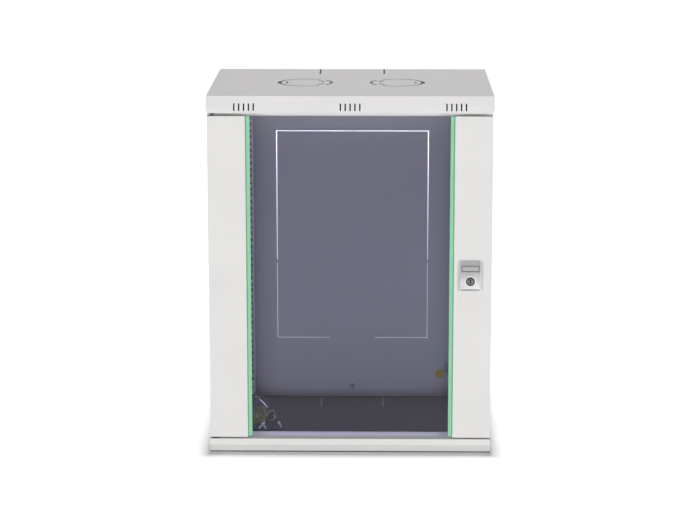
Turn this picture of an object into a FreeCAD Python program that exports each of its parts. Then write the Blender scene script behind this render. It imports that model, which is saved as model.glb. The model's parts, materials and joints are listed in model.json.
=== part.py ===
import FreeCAD, Part
import os
import re
import Sketcher

# A wall mount network cabinet of folded steel sheet. Origin at the middle of its underside,
# +X to the right of someone facing the door, +Y towards the wall, +Z up. Millimetres and degrees.

SIZES = {
    # overall: the height follows from the rack units and the margin above and below them
    "cabinet_width": 600,
    "cabinet_depth": 450,
    "rack_units": 15,
    "rack_unit": 44.45,
    "rack_margin": 52.125,
    "slip": 0.3,
    "running_play": 0.08,
    # top and bottom covers
    "cover_sheet": 1.2,
    "cover_rise": 34,
    "slope_rise": 20.5,
    "slope_run": 17.5,
    "front_flange": 26.5,
    "front_lip": 8.5,
    "rear_rise": 26,
    "rear_flange": 11.8,
    "rear_lip": 14,
    "side_flange": 18,
    "side_lip": 10,
    "bend_radius": 1,
    # vent slots in the top fascia
    "vent_width": 3,
    "vent_pitch": 10.1,
    "vent_group_pitch": 221,
    "vent_above_crease": 6.8,
    "vent_below_crease": 8.6,
    # fan knock-outs and the cable knock-outs
    "fan_spacing": 198,
    "fan_radius": 56.5,
    "fan_inner_radius": 41,
    "fan_slit": 3,
    "fan_crescent": 7,
    "fan_hole_spacing": 98,
    "fan_hole_reach": 63,
    "fan_hole_radius": 1.6,
    "cable_slit_spacing": 143,
    "cable_slit_length": 86,
    "cable_slit": 2,
    "score_depth": 0.4,
    # corner posts
    "post_sheet": 1.5,
    "post_inset": 15,
    "front_post_width": 39,
    "front_post_depth": 34,
    "front_post_return": 16,
    "front_post_hem": 7,
    "notch_width": 20,
    "notch_above": 16,
    "notch_below": 34,
    "rear_post_width": 49,
    "rear_post_depth": 35,
    "rear_post_seat": 20,
    "wall_hole_inset": 13,
    "wall_hole_height": 90,
    "wall_hole_radius": 5,
    # rails that run from front to back, slotted for the rack rails
    "depth_rail_sheet": 1.5,
    "depth_rail_inset": 23,
    "depth_rail_height": 24,
    "depth_rail_width": 14,
    "depth_rail_level": 24,
    "depth_rail_tab": 6,
    "rail_bolt_radius": 3,
    "rail_bolt_play": 0.2,
    "front_travel_out": 12,
    "front_travel_in": 110,
    "rear_travel_out": 110,
    "rear_travel_in": 6,
    # rack rails with square holes
    "rack_sheet": 2,
    "rack_opening": 450,
    "rack_hole_inset": 7.55,
    "rack_hole": 9.5,
    "rack_hole_first": 6.35,
    "rack_hole_step": 15.875,
    "rack_side": 30,
    "rack_return": 12,
    "rack_rail_low": 20,
    "front_rail_setback": 62,
    "rear_rail_setback": 52,
    "foot_hole_radius": 3.5,
    "bolt_head_height": 4,
    "bolt_head_radius": 5.5,
    "bolt_nut_height": 5,
    # rear panel
    "rear_sheet": 1.2,
    "rear_panel_lap": 18.5,
    "rear_panel_low": 8,
    "knockout_width": 346,
    "knockout_low": 146,
    "knockout_high": 632,
    "knockout_tab_level": 328,
    "knockout_tab": 4,
    "knockout_bridge": 105,
    "knockout_top_tab": 3,
    "knockout_slit": 2.2,
    "knockout_fine_slit": 1.3,
    "screw_radius": 2,
    "screw_head_radius": 4,
    "screw_head_height": 2.2,
    "screw_length": 6,
    "rear_screw_inset": 7,
    "centre_screw_level": 32,
    # side panels
    "panel_sheet": 1,
    "panel_inset": 1,
    "panel_return": 12,
    "panel_gap": 2,
    "panel_back_gap": 1.5,
    "panel_tab_width": 30,
    "panel_tab_spread": 260,
    "panel_tab_inset": 7,
    "panel_tab_depth": 6,
    "panel_tab_swing": 4,
    "panel_tab_play": 0.5,
    "panel_lock_drop": 30,
    "panel_lock_radius": 8,
    "panel_lock_rim": 2,
    "panel_lock_proud": 0.7,
    "panel_cam_thick": 2,
    "panel_cam_width": 12,
    "panel_cam_reach": 28,
    "key_slot": 2.2,
    "key_slot_length": 8,
    # door
    "door_inset": 1,
    "door_sheet": 1.2,
    "door_depth": 16,
    "door_side_gap": 1.3,
    "door_gap_low": 3.5,
    "door_gap_high": 6,
    "stile_width": 80,
    "stile_rear_return": 20,
    "glass_recess": 10,
    "glass_seat": 21,
    "tape_thick": 0.8,
    "glass_thick": 4,
    "glass_lap": 13,
    "glass_end_gap": 1,
    "trim_width": 9.2,
    "trim_edge": 2.3,
    "trim_ridge": 8.8,
    "trim_ridge_inset": 3.1,
    "trim_valley": 6,
    "hinge_inset": 12,
    "hinge_setback": 9.5,
    "hinge_pin_radius": 3,
    "hinge_pin_head": 5,
    "hinge_pin_head_height": 2,
    "hinge_pin_stand": 9,
    "bush_radius": 5,
    "bush_flange_radius": 7.5,
    "bush_flange": 2,
    "bush_sleeve": 4,
    "spring_length": 32.8,
    "hinge_bracket_width": 21,
    "spring_wire": 1,
    "spring_radius": 4.4,
    "spring_turns": 6,
    "buffer_radius": 5,
    "buffer_end_inset": 30,
    "buffer_side_inset": 10,
    # lock
    "bezel_width": 41.5,
    "bezel_height": 64.5,
    "bezel_corner": 3,
    "bezel_border": 2,
    "bezel_side_inset": 24.7,
    "bezel_low": 361.5,
    "bezel_band": 9,
    "label_frame_height": 13,
    "label_frame_drop": 11,
    "label_frame_rim": 1.5,
    "label_frame_proud": 0.8,
    "bezel_face": 5.2,
    "lock_low": 19.5,
    "lock_radius": 11.7,
    "lock_body_radius": 9,
    "lock_body_play": 0.1,
    "lock_nut_radius": 13.5,
    "lock_nut_height": 5,
    "cam_gap": 0.5,
    "cam_thick": 2,
    "cam_width": 15,
    "cam_reach": 24,
    "cam_screw_radius": 3,
    "cam_screw_head": 5,
    # small pieces inside
    "earth_inset": 13.5,
    "earth_level": 73,
    "earth_radius": 3,
    "earth_length": 18,
    "earth_nut_radius": 5.8,
    "earth_nut_height": 5,
    "earth_washer_radius": 7,
    "earth_washer_thick": 1.2,
    "label_beside": 18,
    "label_level": 60,
    "label_radius": 10,
    "label_thick": 0.3,
    "bag_gap": 4,
    "bag_width": 74,
    "bag_front": 162,
    "bag_depth": 130,
    "bag_height": 62,
    "bag_top_share": 0.35,
    "bag_lean": 6,
}

# Places worked out from the sizes above, each in the words of this table or of the one above.
FORMULAS = {
    "half_width": "cabinet_width / 2",
    "lock_proud": "bezel_face + label_frame_proud - door_inset",
    "front_face": "(lock_proud - cabinet_depth) / 2",
    "back_face": "(lock_proud + cabinet_depth) / 2",
    "total_height": "rack_units * rack_unit + 2 * rack_margin",
    "slope_length": "sqrt(slope_rise * slope_rise + slope_run * slope_run)",
    "slope_rise_inside": "slope_rise + cover_sheet * (slope_length - slope_rise) / slope_run",
    "slope_run_inside": "slope_run + cover_sheet * (slope_length - slope_run) / slope_rise",
    "wall_inside": "half_width - cover_sheet",
    "flange_inside": "cover_rise - cover_sheet",
    "lip_front": "front_face + front_flange",
    "frame_front": "lip_front + cover_sheet",
    "rear_wall_inside": "back_face - cover_sheet",
    "seat_back": "back_face - rear_flange",
    "post_out": "half_width - post_inset",
    "front_post_in": "post_out - front_post_width",
    "front_post_back": "frame_front + front_post_depth",
    "rear_post_in": "post_out - rear_post_width",
    "rear_seat_in": "rear_post_in - rear_post_seat",
    "rear_post_front": "rear_wall_inside - rear_post_depth",
    "post_low": "cover_sheet",
    "post_high": "total_height - cover_sheet",
    "depth_rail_in": "post_out - depth_rail_inset",
    "depth_rail_out": "depth_rail_in + depth_rail_width",
    "depth_rail_top": "depth_rail_level + depth_rail_height",
    "depth_rail_middle": "depth_rail_level + depth_rail_height / 2",
    "depth_rail_front": "frame_front + post_sheet",
    "depth_rail_back": "rear_wall_inside - post_sheet",
    "slot_radius": "rail_bolt_radius + rail_bolt_play",
    "rack_in": "rack_opening / 2",
    "rack_out": "depth_rail_in - slip",
    "rack_hole_across": "rack_in + rack_hole_inset",
    "rail_bolt_back": "rack_side / 2",
    "front_rail_face": "front_face + front_rail_setback",
    "rear_rail_face": "back_face - rear_rail_setback",
    "rear_panel_front": "seat_back - rear_sheet",
    "rear_panel_half": "rear_seat_in + rear_panel_lap",
    "knockout_half": "knockout_width / 2",
    "rear_screw_across": "rear_seat_in + rear_post_seat - rear_screw_inset",
    "earth_across": "rear_panel_half - earth_inset",
    "label_across": "earth_across - label_beside",
    "panel_face": "half_width - panel_inset",
    "panel_inside": "panel_face - panel_sheet",
    "panel_low": "cover_rise + panel_gap",
    "panel_high": "total_height - cover_rise - panel_gap",
    "panel_front": "frame_front + slip",
    "panel_back": "back_face - panel_back_gap",
    "panel_lock_level": "panel_high - panel_lock_drop",
    "side_lip_in": "half_width - side_flange",
    "panel_cam_out": "side_lip_in - 2 * slip",
    "panel_middle": "(panel_front + panel_back) / 2",
    "panel_tab_out": "panel_face - panel_tab_inset",
    "door_front": "front_face + door_inset",
    "door_back": "door_front + door_depth",
    "door_half": "half_width - door_side_gap",
    "door_low": "cover_rise + door_gap_low",
    "door_high": "total_height - cover_rise - door_gap_high",
    "stile_in": "door_half - stile_width",
    "glass_seat_back": "door_front + glass_recess",
    "glass_front": "glass_seat_back + tape_thick",
    "glass_back": "glass_front + glass_thick",
    "glass_half": "stile_in + glass_lap",
    "trim_in": "stile_in - trim_width",
    "hinge_across": "half_width - hinge_inset",
    "hinge_back": "door_front + hinge_setback",
    "hinge_top_flange": "door_high - door_sheet",
    "hinge_collar_level": "hinge_top_flange - hinge_pin_head_height",
    "hinge_bracket_level": "hinge_collar_level - spring_length - door_sheet",
    "pin_hole": "hinge_pin_radius + running_play",
    "bezel_right": "door_half - bezel_side_inset",
    "bezel_middle": "bezel_right - bezel_width / 2",
    "bezel_top": "bezel_low + bezel_height",
    "bezel_front": "door_front - bezel_face",
    "lock_level": "bezel_low + lock_low",
    "lock_hole": "lock_body_radius + lock_body_play",
    "web_back": "frame_front + post_sheet",
    "cam_front": "web_back + cam_gap",
    "cam_back": "cam_front + cam_thick",
}

VIEWS = {"plan": ("XY_Plane", 1), "front": ("XZ_Plane", -1), "side": ("YZ_Plane", 1)}
LEFT = "-1"
RIGHT = "1"
START = 1
END = 2
CENTRE = 3
ORIGIN = -1

doc = FreeCAD.newDocument("wall_cabinet")
sheet = doc.addObject("Spreadsheet::Sheet", "Sizes")
for row, (alias, size) in enumerate(SIZES.items(), start=1):
    sheet.set(f"A{row}", alias)
    sheet.set(f"B{row}", str(size))
    sheet.setAlias(f"B{row}", alias)
doc.recompute()
pieces = []


def bound(text):
    """The formula with every word of the two tables turned into cells of the sheet."""

    def swap(match):
        word = match.group(0)
        if word in FORMULAS:
            return f"({bound(FORMULAS[word])})"
        return f"Sizes.{word}" if word in SIZES else word

    return re.sub(r"[a-z_]+", swap, text)


def value(text):
    """What the formula comes to."""
    return float(sheet.evalExpression(bound(text)))


def mirrored(side, formula):
    """The distance across the cabinet on the left or the right side."""
    return f"{side} * ({formula})"


def span(side, inner, outer):
    """Two distances from the middle, as levels along X in rising order."""
    if side == RIGHT:
        return inner, outer
    return f"-({outer})", f"-({inner})"


def upright(upside, low, high):
    """Two heights above the underside, or the same two measured down from the top."""
    if upside:
        return f"total_height - ({high})", f"total_height - ({low})"
    return low, high


def pin(sketch, item, end, across, up):
    """Holds a point of the sketch at the place two formulas give."""
    for kind, formula in (("DistanceX", across), ("DistanceY", up)):
        number = sketch.addConstraint(Sketcher.Constraint(kind, ORIGIN, 1, item, end, value(formula)))
        sketch.setExpression(f"Constraints[{number}]", bound(formula))


def hold_radius(sketch, item, formula):
    number = sketch.addConstraint(Sketcher.Constraint("Radius", item, value(formula)))
    sketch.setExpression(f"Constraints[{number}]", bound(formula))


def corners(*points):
    """Closed outline with straight sides through the points."""

    def draw(sketch):
        places = [FreeCAD.Vector(value(across), value(up), 0) for across, up in points]
        first = sketch.GeometryCount
        for begin, finish in zip(places, places[1:] + places[:1]):
            sketch.addGeometry(Part.LineSegment(begin, finish), False)
        for number, (across, up) in enumerate(points):
            line = first + number
            before = first + (number - 1) % len(points)
            sketch.addConstraint(Sketcher.Constraint("Coincident", before, END, line, START))
            pin(sketch, line, START, across, up)

    return draw


def oblong(left, low, right, high):
    return corners((left, low), (right, low), (right, high), (left, high))


def circle(across, up, radius):
    def draw(sketch):
        centre = FreeCAD.Vector(value(across), value(up), 0)
        item = sketch.addGeometry(Part.Circle(centre, FreeCAD.Vector(0, 0, 1), value(radius)), False)
        pin(sketch, item, CENTRE, across, up)
        hold_radius(sketch, item, radius)

    return draw


def slot(left, low, right, high, radius):
    """Slot with round ends between two end centres, upright where left and right are the same."""

    def draw(sketch):
        begin = FreeCAD.Vector(value(left), value(low), 0)
        finish = FreeCAD.Vector(value(right), value(high), 0)
        along = (finish - begin).normalize()
        off = FreeCAD.Vector(-along.y, along.x, 0) * value(radius)
        reach = along * value(radius)
        arcs = [
            sketch.addGeometry(Part.Arc(begin + off, begin - reach, begin - off), False),
            sketch.addGeometry(Part.Arc(finish - off, finish + reach, finish + off), False),
        ]
        lines = [
            sketch.addGeometry(Part.LineSegment(begin - off, finish - off), False),
            sketch.addGeometry(Part.LineSegment(finish + off, begin + off), False),
        ]
        pin(sketch, arcs[0], CENTRE, left, low)
        pin(sketch, arcs[1], CENTRE, right, high)
        for arc in arcs:
            hold_radius(sketch, arc, radius)
        joins = (
            (arcs[0], END, lines[0], START),
            (lines[0], END, arcs[1], START),
            (arcs[1], END, lines[1], START),
            (lines[1], END, arcs[0], START),
        )
        for join in joins:
            sketch.addConstraint(Sketcher.Constraint("Tangent", *join))

    return draw


def ring_slit(across, up, radius, width, begin, finish):
    """Slit along a circle from one angle to another, drawn anticlockwise."""

    def draw(sketch):
        middle = (begin + finish) / 2
        rims = (f"{radius} + {width} / 2", f"{radius} - {width} / 2")

        def place(rim, angle):
            return f"{across} + ({rim}) * cos({angle} deg)", f"{up} + ({rim}) * sin({angle} deg)"

        def point(rim, angle):
            return FreeCAD.Vector(*(value(part) for part in place(rim, angle)), 0)

        arcs = []
        for rim in rims:
            arc = Part.Arc(point(rim, begin), point(rim, middle), point(rim, finish))
            arcs.append(sketch.addGeometry(arc, False))
            pin(sketch, arcs[-1], START, *place(rim, begin))
            pin(sketch, arcs[-1], END, *place(rim, finish))
            hold_radius(sketch, arcs[-1], rim)
        for end, angle in ((START, begin), (END, finish)):
            line = Part.LineSegment(point(rims[0], angle), point(rims[1], angle))
            item = sketch.addGeometry(line, False)
            sketch.addConstraint(Sketcher.Constraint("Coincident", arcs[0], end, item, START))
            sketch.addConstraint(Sketcher.Constraint("Coincident", arcs[1], end, item, END))

    return draw


def new_body(label):
    body = doc.addObject("PartDesign::Body", label)
    body.Label = label
    pieces.append(body)
    return body


def sketch_at(body, view, level, outlines):
    """Sketch on one of the body's own origin planes, moved along the plane's normal."""
    role = VIEWS[view][0]
    plane = next(item for item in body.Origin.OriginFeatures if item.Role == role)
    sketch = body.newObject("Sketcher::SketchObject", "Outline")
    sketch.AttachmentSupport = [(plane, "")]
    sketch.MapMode = "FlatFace"
    sketch.setExpression("AttachmentOffset.Base.z", bound(level))
    for outline in outlines:
        outline(sketch)
    return sketch


def pad(body, view, low, high, *outlines):
    """Material between two levels across the view."""
    level = low if VIEWS[view][1] > 0 else f"-({high})"
    feature = body.newObject("PartDesign::Pad", "Pad")
    feature.Profile = sketch_at(body, view, level, outlines)
    feature.setExpression("Length", bound(f"({high}) - ({low})"))
    body.Tip = feature
    return feature


def pocket(body, view, low, high, *outlines):
    """Opening between two levels across the view."""
    level = high if VIEWS[view][1] > 0 else f"-({low})"
    feature = body.newObject("PartDesign::Pocket", "Pocket")
    feature.Profile = sketch_at(body, view, level, outlines)
    feature.setExpression("Length", bound(f"({high}) - ({low})"))
    body.Tip = feature
    return feature


def repeat(body, feature, role, length, count):
    """The feature again along one of the body's origin axes."""
    axis = next(item for item in body.Origin.OriginFeatures if item.Role == role)
    pattern = body.newObject("PartDesign::LinearPattern", "Pattern")
    pattern.Originals = [feature]
    pattern.Direction = (axis, [""])
    pattern.setExpression("Length", bound(length))
    pattern.setExpression("Occurrences", bound(count))
    body.Tip = pattern
    return pattern


def round_bends(body, bends):
    """Rounds the outside of bends that run across the cabinet, given as places in the side view."""
    doc.recompute()
    base = body.Tip
    names = []
    for number, edge in enumerate(base.Shape.Edges, start=1):
        box = edge.BoundBox
        for depth, height in bends:
            across = abs(box.YMin - value(depth)) < 0.01 and abs(box.ZMin - value(height)) < 0.01
            if across and box.YLength + box.ZLength < 0.01:
                names.append(f"Edge{number}")
    fillet = body.newObject("PartDesign::Fillet", "Bends")
    fillet.Base = (base, names)
    fillet.setExpression("Radius", bound("bend_radius"))
    body.Tip = fillet


def primitive(kind, sizes, place=("0", "0", "0"), turn=None):
    """One of Part's solids with its sizes and place bound to the sheet."""
    solid = doc.addObject(kind, kind.split("::")[1])
    for name, formula in sizes.items():
        solid.setExpression(name, bound(formula))
    if turn:
        solid.Placement.Rotation = turn
    for axis, formula in zip("xyz", place):
        solid.setExpression(f"Placement.Base.{axis}", bound(formula))
    return solid


def rod(radius, length, place, turn=None):
    return primitive("Part::Cylinder", {"Radius": radius, "Height": length}, place, turn)


def hexagon(radius, length, place, turn=None):
    solid = primitive("Part::Prism", {"Circumradius": radius, "Height": length}, place, turn)
    solid.Polygon = 6
    return solid


def joined(*solids):
    whole = doc.addObject("Part::MultiFuse", "Joined")
    whole.Shapes = list(solids)
    return whole


def cut(base, tool):
    rest = doc.addObject("Part::Cut", "Cut")
    rest.Base = base
    rest.Tool = tool
    return rest


def named(label, solid):
    solid.Label = label
    pieces.append(solid)
    return solid


def group(label, solids):
    """Like fasteners under one name, each a solid of its own."""
    together = doc.addObject("Part::Compound", "Group")
    together.Links = solids
    return named(label, together)


BACKWARD = FreeCAD.Rotation(FreeCAD.Vector(1, 0, 0), -90)
RIGHTWARD = FreeCAD.Rotation(FreeCAD.Vector(0, 1, 0), 90)
LEFTWARD = FreeCAD.Rotation(FreeCAD.Vector(0, 1, 0), -90)


def outward(side):
    return RIGHTWARD if side == RIGHT else LEFTWARD


# --- Covers: one folded tray above and one below, with a sloped fascia, flanges and lips.
def cover(label, upside):
    def up(height):
        return f"total_height - ({height})" if upside else height

    body = new_body(label)
    section = (
        ("front_face", up("slope_rise")),
        ("front_face", up("cover_rise")),
        ("lip_front", up("cover_rise")),
        ("lip_front", up("cover_rise + front_lip")),
        ("frame_front", up("cover_rise + front_lip")),
        ("frame_front", up("flange_inside")),
        ("front_face + cover_sheet", up("flange_inside")),
        ("front_face + cover_sheet", up("slope_rise_inside")),
        ("front_face + slope_run_inside", up("cover_sheet")),
        ("rear_wall_inside", up("cover_sheet")),
        ("rear_wall_inside", up("rear_rise - cover_sheet")),
        ("seat_back", up("rear_rise - cover_sheet")),
        ("seat_back", up("rear_rise + rear_lip")),
        ("seat_back + cover_sheet", up("rear_rise + rear_lip")),
        ("seat_back + cover_sheet", up("rear_rise")),
        ("back_face", up("rear_rise")),
        ("back_face", up("0")),
        ("front_face + slope_run", up("0")),
    )
    pad(body, "side", "-(wall_inside)", "wall_inside", corners(*section))
    end_wall = corners(
        ("front_face", up("slope_rise")),
        ("front_face", up("cover_rise")),
        ("back_face", up("cover_rise")),
        ("back_face", up("0")),
        ("front_face + slope_run", up("0")),
    )
    for side in (LEFT, RIGHT):
        pad(body, "side", *span(side, "wall_inside", "half_width"), end_wall)
    # the rear flange stops short of the rear posts
    for side in (LEFT, RIGHT):
        left, right = span(side, "rear_seat_in - 2 * slip", "wall_inside")
        low, high = upright(upside, "cover_sheet", "rear_rise + rear_lip")
        pocket(body, "plan", low, high, oblong(left, "seat_back - slip", right, "rear_wall_inside"))
    # side flanges between the posts, each with a lip that the side panel's cam catches
    for side in (LEFT, RIGHT):
        low, high = upright(upside, "flange_inside", "cover_rise")
        left, right = span(side, "side_lip_in", "wall_inside")
        reach = ("front_post_back + slip", "rear_post_front - slip")
        pad(body, "plan", low, high, oblong(left, reach[0], right, reach[1]))
        low, high = upright(upside, "cover_rise", "cover_rise + side_lip")
        left, right = span(side, "side_lip_in", "side_lip_in + cover_sheet")
        pad(body, "plan", low, high, oblong(left, reach[0], right, reach[1]))
    flange = upright(upside, "flange_inside", "cover_rise")
    pocket(body, "plan", *flange, circle("-(hinge_across)", "hinge_back", "bush_radius"))
    bends = (
        ("front_face", up("slope_rise")),
        ("front_face", up("cover_rise")),
        ("front_face + slope_run", up("0")),
        ("back_face", up("0")),
    )
    round_bends(body, bends)
    # cable knock-out at the rear edge: two slits and a scored line between their ends
    skin = upright(upside, "0", "cover_sheet")
    slit_front = "rear_wall_inside - cable_slit_length"
    slits = []
    for side in (LEFT, RIGHT):
        near = "(cable_slit_spacing - cable_slit) / 2"
        left, right = span(side, near, f"{near} + cable_slit")
        slits.append(oblong(left, slit_front, right, "rear_wall_inside - bend_radius"))
    pocket(body, "plan", *skin, *slits)
    score = upright(upside, "0", "score_depth")
    inner = "cable_slit_spacing / 2 - cable_slit"
    pocket(body, "plan", *score, oblong(f"-({inner})", slit_front, inner, f"{slit_front} + cable_slit / 2"))
    return body


top_cover = cover("top_cover", True)
bottom_cover = cover("bottom_cover", False)

# vent slots, cut from the front across the crease of the top fascia
crease = "total_height - slope_rise"
slots = []
for step in (-2, -1, 0, 1, 2):
    across = f"{step} * vent_pitch - vent_group_pitch"
    low = f"{crease} - vent_below_crease + vent_width / 2"
    high = f"{crease} + vent_above_crease - vent_width / 2"
    slots.append(slot(across, low, across, high, "vent_width / 2"))
vents = pocket(top_cover, "front", "front_face - slip", "front_face + slope_run", *slots)
repeat(top_cover, vents, "X_Axis", "2 * vent_group_pitch", "3")

# fan knock-outs: slits along two circles with bridges between them, the right one a mirror image
top_skin = ("total_height - cover_sheet", "total_height")
fan_across = "-(fan_spacing / 2)"
fan_back = "(front_face + back_face) / 2"
OUTER_SLITS = ((5, 39), (57, 90), (95, 158), (202, 265), (270, 303), (321, 355))
INNER_SLITS = ((17, 50), (310, 343))
OUTER_CRESCENT = (166, 194)
INNER_CRESCENT = (174, 186)
fan = [ring_slit(fan_across, fan_back, "fan_radius", "fan_slit", *ends) for ends in OUTER_SLITS]
fan += [ring_slit(fan_across, fan_back, "fan_inner_radius", "fan_slit", *ends) for ends in INNER_SLITS]
fan.append(ring_slit(fan_across, fan_back, "fan_radius", "fan_crescent", *OUTER_CRESCENT))
fan.append(ring_slit(fan_across, fan_back, "fan_inner_radius", "fan_slit", *INNER_CRESCENT))
for end in ("-", "+"):
    hole_back = f"{fan_back} {end} fan_hole_spacing"
    fan.append(circle(f"{fan_across} - fan_hole_reach", hole_back, "fan_hole_radius"))
fan_slits = pocket(top_cover, "plan", *top_skin, *fan)
both_fans = top_cover.newObject("PartDesign::Mirrored", "Mirror")
both_fans.Originals = [fan_slits]
middle_plane = next(item for item in top_cover.Origin.OriginFeatures if item.Role == "YZ_Plane")
both_fans.MirrorPlane = (middle_plane, [""])
top_cover.Tip = both_fans

# slots in the bottom cover's side flanges for the tabs of the side panels
for side in (LEFT, RIGHT):
    seats = []
    for end in ("-", "+"):
        middle = f"panel_middle {end} panel_tab_spread / 2"
        near = "panel_tab_out - panel_sheet - panel_tab_swing"
        left, right = span(side, near, "panel_tab_out + panel_tab_play")
        reach = "panel_tab_width / 2 + panel_tab_play"
        seats.append(oblong(left, f"{middle} - ({reach})", right, f"{middle} + {reach}"))
    pocket(bottom_cover, "plan", "flange_inside", "cover_rise", *seats)


# --- Corner posts, each folded from one strip.
def front_post(label, side):
    body = new_body(label)
    section = (
        ("front_post_in", "frame_front"),
        ("post_out", "frame_front"),
        ("post_out", "front_post_back"),
        ("post_out - front_post_hem", "front_post_back"),
        ("post_out - front_post_hem", "front_post_back - post_sheet"),
        ("post_out - post_sheet", "front_post_back - post_sheet"),
        ("post_out - post_sheet", "web_back"),
        ("front_post_in + post_sheet", "web_back"),
        ("front_post_in + post_sheet", "frame_front + front_post_return"),
        ("front_post_in", "frame_front + front_post_return"),
    )
    points = [(mirrored(side, across), back) for across, back in section]
    pad(body, "plan", "post_low", "post_high", corners(*points))
    left, right = span(side, "front_post_in", "front_post_in + notch_width")
    notch = oblong(left, "lock_level - notch_below", right, "lock_level + notch_above")
    pocket(body, "front", "frame_front", "frame_front + front_post_return", notch)


def rear_post(label, side):
    body = new_body(label)
    section = (
        ("post_out", "rear_post_front"),
        ("post_out", "rear_wall_inside"),
        ("rear_post_in", "rear_wall_inside"),
        ("rear_post_in", "seat_back + post_sheet"),
        ("rear_seat_in", "seat_back + post_sheet"),
        ("rear_seat_in", "seat_back"),
        ("rear_post_in + post_sheet", "seat_back"),
        ("rear_post_in + post_sheet", "rear_wall_inside - post_sheet"),
        ("post_out - post_sheet", "rear_wall_inside - post_sheet"),
        ("post_out - post_sheet", "rear_post_front"),
    )
    points = [(mirrored(side, across), back) for across, back in section]
    pad(body, "plan", "post_low", "post_high", corners(*points))
    holes = []
    for height in ("wall_hole_height", "total_height - wall_hole_height"):
        holes.append(circle(mirrored(side, "post_out - wall_hole_inset"), height, "wall_hole_radius"))
    pocket(body, "front", "rear_wall_inside - post_sheet", "rear_wall_inside", *holes)
    screw_holes = []
    for height in REAR_SCREW_LEVELS:
        across = mirrored(side, "rear_screw_across")
        screw_holes.append(circle(across, height, "screw_radius + running_play"))
    pocket(body, "front", "seat_back", "seat_back + post_sheet", *screw_holes)


REAR_SCREW_LEVELS = ("rack_margin", "total_height / 3", "2 * total_height / 3", "total_height - rack_margin")
front_post("front_post_left", LEFT)
front_post("front_post_right", RIGHT)
rear_post("rear_post_left", LEFT)
rear_post("rear_post_right", RIGHT)


# --- Depth rails: channels open to the outside, with two long slots in the web.
def depth_rail(label, side, upside):
    def up(height):
        return f"total_height - ({height})" if upside else height

    body = new_body(label)
    section = (
        ("depth_rail_in", "depth_rail_level"),
        ("depth_rail_out", "depth_rail_level"),
        ("depth_rail_out", "depth_rail_level + depth_rail_sheet"),
        ("depth_rail_in + depth_rail_sheet", "depth_rail_level + depth_rail_sheet"),
        ("depth_rail_in + depth_rail_sheet", "depth_rail_top - depth_rail_sheet"),
        ("depth_rail_out", "depth_rail_top - depth_rail_sheet"),
        ("depth_rail_out", "depth_rail_top"),
        ("depth_rail_in", "depth_rail_top"),
    )
    points = [(mirrored(side, across), up(height)) for across, height in section]
    pad(body, "front", "depth_rail_front", "depth_rail_back", corners(*points))
    left, right = span(side, "depth_rail_in + depth_rail_sheet", "depth_rail_out + depth_rail_tab")
    low, high = upright(upside, "depth_rail_level + depth_rail_sheet", "depth_rail_top - depth_rail_sheet")
    tab = oblong(left, low, right, high)
    pad(body, "front", "depth_rail_front", "depth_rail_front + depth_rail_sheet", tab)
    pad(body, "front", "depth_rail_back - depth_rail_sheet", "depth_rail_back", tab)
    middle = up("depth_rail_middle")
    front_bolt = "front_rail_face + rail_bolt_back"
    rear_bolt = "rear_rail_face + rail_bolt_back"
    web = span(side, "depth_rail_in", "depth_rail_in + depth_rail_sheet")
    front_slot = slot(
        f"{front_bolt} - front_travel_out", middle, f"{front_bolt} + front_travel_in", middle, "slot_radius"
    )
    rear_slot = slot(
        f"{rear_bolt} - rear_travel_out", middle, f"{rear_bolt} + rear_travel_in", middle, "slot_radius"
    )
    pocket(body, "side", *web, front_slot, rear_slot)


for level, upside in (("lower", False), ("upper", True)):
    depth_rail(f"depth_rail_{level}_left", LEFT, upside)
    depth_rail(f"depth_rail_{level}_right", RIGHT, upside)


# --- Rack rails: angles with a turned inner edge and three square holes to each rack unit.
def rack_rail(place, name, side, face):
    body = new_body(f"rack_rail_{place}_{name}")
    section = (
        ("rack_in", face),
        ("rack_out", face),
        ("rack_out", f"{face} + rack_side"),
        ("rack_out - rack_sheet", f"{face} + rack_side"),
        ("rack_out - rack_sheet", f"{face} + rack_sheet"),
        ("rack_in + rack_sheet", f"{face} + rack_sheet"),
        ("rack_in + rack_sheet", f"{face} + rack_return"),
        ("rack_in", f"{face} + rack_return"),
    )
    points = [(mirrored(side, across), back) for across, back in section]
    pad(body, "plan", "rack_rail_low", "total_height - rack_rail_low", corners(*points))
    left, right = span(side, "rack_hole_across - rack_hole / 2", "rack_hole_across + rack_hole / 2")
    squares = []
    for step in (0, 1, 2):
        centre = f"rack_margin + rack_hole_first + {step} * rack_hole_step"
        squares.append(oblong(left, f"{centre} - rack_hole / 2", right, f"{centre} + rack_hole / 2"))
    unit = pocket(body, "front", face, f"{face} + rack_sheet", *squares)
    repeat(body, unit, "Z_Axis", "(rack_units - 1) * rack_unit", "rack_units")
    feet = []
    bolts = []
    bolt_back = f"{face} + rail_bolt_back"
    for upside in (False, True):
        height = "total_height - depth_rail_middle" if upside else "depth_rail_middle"
        feet.append(circle(mirrored(side, "rack_hole_across"), height, "foot_hole_radius"))
        bolts.append(circle(bolt_back, height, "slot_radius"))
    pocket(body, "front", face, f"{face} + rack_sheet", *feet)
    pocket(body, "side", *span(side, "rack_out - rack_sheet", "rack_out"), *bolts)


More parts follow.
